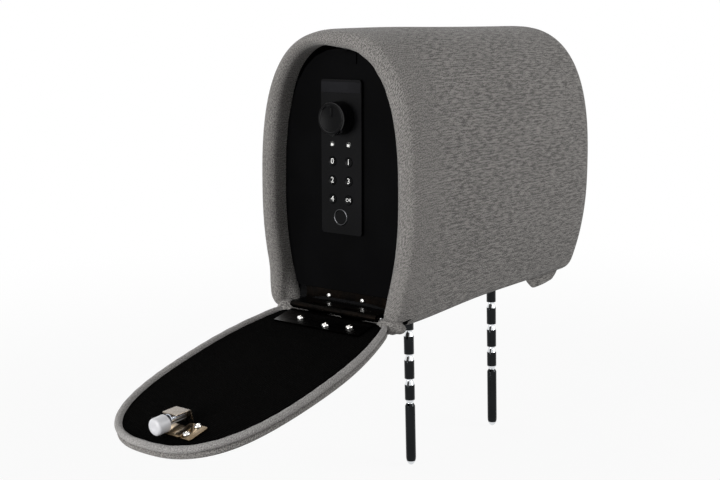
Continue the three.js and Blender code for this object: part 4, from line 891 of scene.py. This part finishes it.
# Latch bracket: a folded strip over its base plate, and the tube that the plunger's stem slides in
def make_bracket():
    sheet = 1.5
    foot = LINER_X + 0.3
    mesh = bmesh.new()
    corners = [(foot + 15.8, LATCH_Z + 18.2), (foot + 12.4, LATCH_Z + 1.6), (foot, LATCH_Z + 1.6)]
    _, edges = line_of(mesh, [(x, LATCH_Y - 9.4, z) for x, z in corners])
    strip = bmesh.ops.extrude_edge_only(mesh, edges=edges)["geom"]
    bmesh.ops.translate(mesh, verts=verts_in(strip), vec=(0, 16, 0))
    bend = [edge for edge in mesh.edges if len(edge.link_faces) == 2]
    bmesh.ops.bevel(mesh, geom=bend, offset=2.2, segments=5, profile=0.5, affect="EDGES", material=-1)
    bmesh.ops.recalc_face_normals(mesh, faces=mesh.faces)
    mesh.normal_update()
    top = max(mesh.faces, key=lambda face: face.calc_center_median().x)
    bmesh.ops.solidify(mesh, geom=list(mesh.faces), thickness=sheet if top.normal.x > 0 else -sheet)
    bracket = finish_mesh(mesh, "latch_arch", LID_PLACE, [NICKEL])
    shade_by_angle(bracket, 30)
    bevel = bracket.modifiers.new("edge", "BEVEL")
    bevel.width = 0.0003
    bevel.segments = 2
    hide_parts("latch_bracket")
    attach(bracket, "lid")

    for name, low, high, raised in (
        ("latch_base", (LATCH_Y - 28, LATCH_Z + 4.5), (LATCH_Y - 8, LATCH_Z + 26), 0.0),
        ("latch_floor", (LATCH_Y - 17.5, LATCH_Z + 12), (LATCH_Y + 7, LATCH_Z + 27.5), sheet),
    ):
        plate = bmesh.new()
        bmesh.ops.create_grid(plate, x_segments=1, y_segments=1, size=0.5)
        bmesh.ops.scale(plate, vec=(high[0] - low[0], high[1] - low[1], 1), verts=plate.verts)
        bmesh.ops.bevel(
            plate, geom=list(plate.verts), offset=2.0, segments=5, profile=0.5, affect="VERTICES", material=-1
        )
        whole = bmesh.ops.extrude_face_region(plate, geom=list(plate.faces))["geom"]
        bmesh.ops.translate(plate, verts=verts_in(whole), vec=(0, 0, sheet))
        rims = [e for e in plate.edges if abs(e.verts[0].co.z - e.verts[1].co.z) < 0.01]
        bmesh.ops.bevel(plate, geom=rims, offset=0.3, segments=2, profile=0.5, affect="EDGES", material=-1)
        middle = (foot + raised, (low[0] + high[0]) / 2, (low[1] + high[1]) / 2)
        place = Matrix(((0, 0, 1, middle[0]), (1, 0, 0, middle[1]), (0, 1, 0, middle[2]), (0, 0, 0, 1)))
        piece = finish_mesh(plate, name, LID_PLACE @ place, [BRASSED])
        shade_by_angle(piece, 30)
        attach(piece, "lid")

    tube = turned([(3.2, 0), (4.2, 0), (4.2, 16.4), (3.9, 16.8), (3.2, 16.8)], (1, 0, 0), 32)
    place = at_lid(LINER_X + 8.3, LATCH_Y, LATCH_Z + 3) @ Matrix.Rotation(-math.radians(80), 4, "Y")
    sleeve = finish_mesh(tube, "latch_sleeve", place, [BLUED])
    shade_by_angle(sleeve, 35)
    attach(sleeve, "lid")


make_bracket()


# White nylon plunger with a rounded rim and its stem
def make_plunger():
    profile = [(0, -30.8), (2.6, -30.8), (3, -30.4), (3, -4.3), (6.8, -4.3), (7.3, -3.8), (7.3, 5.8)]
    for degrees in (20, 40, 60, 80):
        turn = math.radians(degrees)
        profile.append((4.3 + 3.0 * math.cos(turn), 5.8 + 2.2 * math.sin(turn)))
    profile += [(2.4, 8.1), (1.8, 7.8), (0, 7.7)]
    place = at_lid(LINER_X + 10.5, LATCH_Y, 232.5) @ Matrix.Rotation(math.radians(10), 4, "Y")
    plunger = finish_mesh(turned(profile, (0, 0, 1), 48), "nylon_plunger", place, [NYLON])
    shade_by_angle(plunger, 35)
    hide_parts("latch_plunger")
    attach(plunger, "plunger")


make_plunger()


# Turning knob with a glossy rounded side, a dished face and a raised pointer bar
def make_knob():
    back = PANEL_X - 0.4
    front = back - 15.5
    profile = [(4.1, back), (15.5, back), (15.5, front + 2.6)]
    for degrees in (15, 35, 55, 75, 90):
        turn = math.radians(degrees)
        profile.append((13.1 + 2.4 * math.cos(turn), front + 2.4 - 2.4 * math.sin(turn)))
    profile += [(12.4, front + 0.15), (12.0, front + 0.7), (11.2, front + 1.0), (0, front + 1.1)]
    mesh = turned_x(profile, PANEL_Y, KNOB_Z, 64)
    mesh.normal_update()
    for face in mesh.faces:
        face.material_index = int(abs(face.normal.x) < 0.8)
    body = finish_mesh(mesh, "knob_body", BODY_PLACE, [PLASTIC, GLOSS])
    shade_by_angle(body, 35)
    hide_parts("knob")
    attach(body, "knob")

    grip = bmesh.new()
    bmesh.ops.create_cube(grip, size=1)
    bmesh.ops.scale(grip, vec=(0.9, 3.0, 9.0), verts=grip.verts)
    bmesh.ops.bevel(
        grip, geom=list(grip.edges), offset=0.42, segments=3, profile=0.5, affect="EDGES", material=-1
    )
    bmesh.ops.translate(grip, vec=(front + 0.75, PANEL_Y, KNOB_Z + 6.0), verts=grip.verts)
    bar = finish_mesh(grip, "knob_pointer", BODY_PLACE, [PLASTIC])
    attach(bar, "knob")


make_knob()


# Text as a thin mesh that stands on a face looking towards -X
def make_mark(name, text, body, x, y, z, size):
    curve = bpy.data.curves.new(name, "FONT")
    curve.body = text
    curve.size = size
    curve.align_x = "CENTER"
    curve.align_y = "CENTER"
    curve.extrude = 0.05
    curve.resolution_u = 3
    letters = bpy.data.objects.new(name + "_letters", curve)
    bpy.context.scene.collection.objects.link(letters)
    graph = bpy.context.evaluated_depsgraph_get()
    graph.update()
    data = bpy.data.meshes.new_from_object(letters.evaluated_get(graph))
    bpy.data.objects.remove(letters)
    facing = Matrix(((0, 0, -1), (-1, 0, 0), (0, 1, 0))).to_4x4()
    data.transform(BODY_PLACE @ Matrix.Translation((x, y, z)) @ facing)
    mark = bpy.data.objects.new(name, data)
    bpy.context.scene.collection.objects.link(mark)
    data.materials.clear()
    data.materials.append(INK_PAINTED_GLOW)
    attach(mark, body)


# A small padlock sign: body, and a shackle that is shut or swung open
def make_padlock(name, y, z, lift):
    mesh = bmesh.new()
    bmesh.ops.create_cube(mesh, size=1)
    bmesh.ops.scale(mesh, vec=(0.1, 2.9, 2.2), verts=mesh.verts)
    bmesh.ops.translate(mesh, vec=(PANEL_X - 0.28, y, z - 0.7), verts=mesh.verts)
    aside = -1.3 if lift else 0.0
    loop = [(0.95 + aside, 0.35)]
    for degrees in range(0, 181, 20):
        turn = math.radians(degrees)
        loop.append((0.95 * math.cos(turn) + aside, 0.5 + lift + 0.95 * math.sin(turn)))
    loop.append((aside - 0.95, 0.35 + 0.6 * lift))
    first, path = line_of(mesh, [(PANEL_X - 0.33, y + a, z + b) for a, b in loop])
    moved = verts_in(bmesh.ops.extrude_edge_only(mesh, edges=path)["geom"])
    centre = Vector((0, y + aside, z + 0.3))
    for vert in moved:
        away = Vector((0, vert.co.y, vert.co.z)) - centre
        vert.co += away.normalized() * 0.42
    band = [f for f in mesh.faces if all(v in set(first) | set(moved) for v in f.verts)]
    bmesh.ops.solidify(mesh, geom=band, thickness=0.1)
    sign = finish_mesh(mesh, name, BODY_PLACE, [INK_PAINTED_GLOW], smooth=False)
    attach(sign, "drawer")


# Keys with a rounded rim and a dished top
def make_key(label, y, z):
    front = PANEL_X - KEY_PROUD
    profile = [(0, KEY_STEM_END), (2, KEY_STEM_END), (2, -142.5), (5.6, -142.5), (5.6, -142.8), (4.5, -142.9)]
    profile += [(4.5, front + 0.35), (4.35, front + 0.1), (4.1, front), (3.85, front + 0.1), (3.5, front + 0.35)]
    profile.append((0, front + 0.55))
    key = finish_mesh(turned_x(profile, y, z, 40), f"keycap_{label}", BODY_PLACE, [PLASTIC])
    shade_by_angle(key, 38)
    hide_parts(f"key_{label}")
    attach(key, f"key_{label}")
    size = 7.4 if len(label) == 1 else 4.6
    make_mark(f"sign_{label}", label.upper(), f"key_{label}", front + 0.42, y, z, size)


COLUMNS = (PANEL_Y + KEY_SHIFT + KEY_SIDE, PANEL_Y + KEY_SHIFT - KEY_SIDE)
for row, labels in enumerate((("0", "1"), ("2", "3"), ("4", "ok"))):
    for y, label in zip(COLUMNS, labels):
        make_key(label, y, PANEL_Z - KEY_DROP - row * KEY_PITCH)
make_padlock("sign_locked", COLUMNS[0], PANEL_Z + LAMP_RISE, 0.0)
make_padlock("sign_open", COLUMNS[1], PANEL_Z + LAMP_RISE, 0.5)


# Round lens flush in the panel, with a domed front
def make_lens(name, node, y, z):
    front = PANEL_X - 0.2
    profile = [(0, -143.0), (3, -143.0), (3, front + 0.3), (2.8, front + 0.08), (2.2, front), (0, front - 0.02)]
    lens = finish_mesh(turned_x(profile, y, z, 32), name, BODY_PLACE, [GLOSS])
    shade_by_angle(lens, 35)
    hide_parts(node)
    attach(lens, "drawer")


make_lens("lamp_locked", "light_locked", COLUMNS[0], PANEL_Z + LAMP_RISE)
make_lens("lamp_open", "light_open", COLUMNS[1], PANEL_Z + LAMP_RISE)


# Ring round the fingerprint sensor, rounded on its front
def make_sensor_ring():
    front = PANEL_X - 0.7
    profile = [(6.3, front + 4), (6.3, front + 0.5)]
    for degrees in (180, 150, 120, 90, 60, 30, 0):
        turn = math.radians(degrees)
        profile.append((7.15 + 0.85 * math.cos(turn), front + 0.6 - 0.6 * math.sin(turn)))
    profile += [(8.0, front + 4), (6.3, front + 4)]
    mesh = turned_x(profile, PANEL_Y + 0.9, PANEL_Z - 55.5, 64)
    ring = finish_mesh(mesh, "sensor_ring", BODY_PLACE, [RING])
    shade_by_angle(ring, 40)
    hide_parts("fingerprint_ring")
    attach(ring, "drawer")


make_sensor_ring()


# Flap of cover cloth under the far end: a folded tab with rounded edges
def make_flap():
    mesh = bmesh.new()
    bmesh.ops.create_grid(mesh, x_segments=14, y_segments=6, size=0.5)
    start, end, drop = 80.0, 146.0, 12.0
    for vert in mesh.verts:
        s = vert.co.x + 0.5
        t = vert.co.y + 0.5
        deep = drop * min(1, s * 66 / 15) * (1 - 0.4 * s) * min(1, (1 - s) * 66 / 8 + 0.02)
        x = start + (end - start) * s
        vert.co = (x, -62.8 + 0.7 * math.sin(s * 9) * t, -0.3 - deep * t)
    bmesh.ops.solidify(mesh, geom=list(mesh.faces), thickness=2.0)
    sheet = mesh.loops.layers.uv.new("cloth")
    for face in mesh.faces:
        for loop in face.loops:
            loop[sheet].uv = (loop.vert.co.x / 1000, loop.vert.co.z / 1000)
    flap = finish_mesh(mesh, "cloth_flap", BODY_PLACE, [COVER])
    subdivide(flap)
    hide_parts("underside_flap")
    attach(flap, "headrest")


make_flap()


# Finishes of the pieces that keep their own shape
POST_NODES = ("post_plate", "post_bolt_near", "post_bolt_far")
RAILS = ("rail_fixed_left", "rail_fixed_right", "rail_moving_left", "rail_moving_right")
LOCK_WORKS = ("spindle", "cam", "bolt_bar", "bolt_guide", "solenoid", "solenoid_pin")
CELLS = ("battery_1", "battery_2", "battery_3", "battery_4")
CARRIED = (
    (COATED, ("safe_shell", "drawer_front", "drawer_tray", "latch_keeper")),
    (PLASTIC, ("lid_board", "lock_housing", "battery_box", "battery_cover", "fingerprint_sensor")),
    (WINDOW, ("strip_window",)),
    (LEAF, ("hinge_lid_leaf", "hinge_body_leaf", "hinge_pin")),
    (BOARD, ("circuit_board",)),
    (ZINC, POST_NODES + RAILS + LOCK_WORKS + CELLS),
)
for material, names in CARRIED:
    for name in names:
        for holder in nodes[name].material_slots:
            holder.material = material


# Floor, lights and the white surround
def make_stage():
    mesh = bmesh.new()
    bmesh.ops.create_grid(mesh, x_segments=1, y_segments=1, size=40)
    bmesh.ops.translate(mesh, vec=(0, 0, -0.1675), verts=mesh.verts)
    floor = finish_mesh(mesh, "floor", Matrix.Identity(4), [])
    paint = Finish("floor_paint")
    lay = paint.places()
    across, along = paint.axis(lay, 0), paint.axis(lay, 1)
    away = ((across * across + along * along) ** 0.5).rise(0.35, 1.3)
    matt = paint.node("ShaderNodeBsdfDiffuse", values={"Color": (0.5, 0.5, 0.5)})
    glow = paint.node("ShaderNodeEmission", values={"Color": (1.0, 1.0, 1.0), "Strength": 1.0})
    share = paint.shown() * (away * 0.08 + 0.92)
    mixed = paint.node("ShaderNodeMixShader", values={0: share, 1: matt, 2: glow})
    floor.data.materials.append(paint.give(mixed))

    world = bpy.data.worlds.new("surround")
    bpy.context.scene.world = world
    sky = Finish(world)
    soft, bright = (
        sky.node("ShaderNodeBackground", values={"Color": (1.0, 1.0, 1.0), "Strength": strength})
        for strength in (0.38, 1.0)
    )
    mixed = sky.node("ShaderNodeMixShader", values={0: sky.shown(), 1: soft, 2: bright})
    sky.give(mixed, "ShaderNodeOutputWorld")


def add_lamp(name, place, target, size, power):
    data = bpy.data.lights.new(name, "AREA")
    data.shape = "RECTANGLE"
    data.size, data.size_y = size
    data.energy = power
    lamp = bpy.data.objects.new(name, data)
    lamp.location = place
    lamp.rotation_euler = (Vector(target) - Vector(place)).to_track_quat("-Z", "Y").to_euler()
    bpy.context.scene.collection.objects.link(lamp)


make_stage()
add_lamp("key_softbox", (-2.35, 0.35, 0.35), (-0.1, 0, 0.1), (1.1, 1.1), 58)
add_lamp("side_softbox", (0.8, -2.2, 1.2), (0.0, 0, 0.1), (1.6, 1.0), 41)
add_lamp("back_softbox", (0.4, 1.8, 1.4), (0.0, 0, 0.1), (1.4, 0.8), 10)

bpy.context.scene.view_settings.view_transform = "Standard"
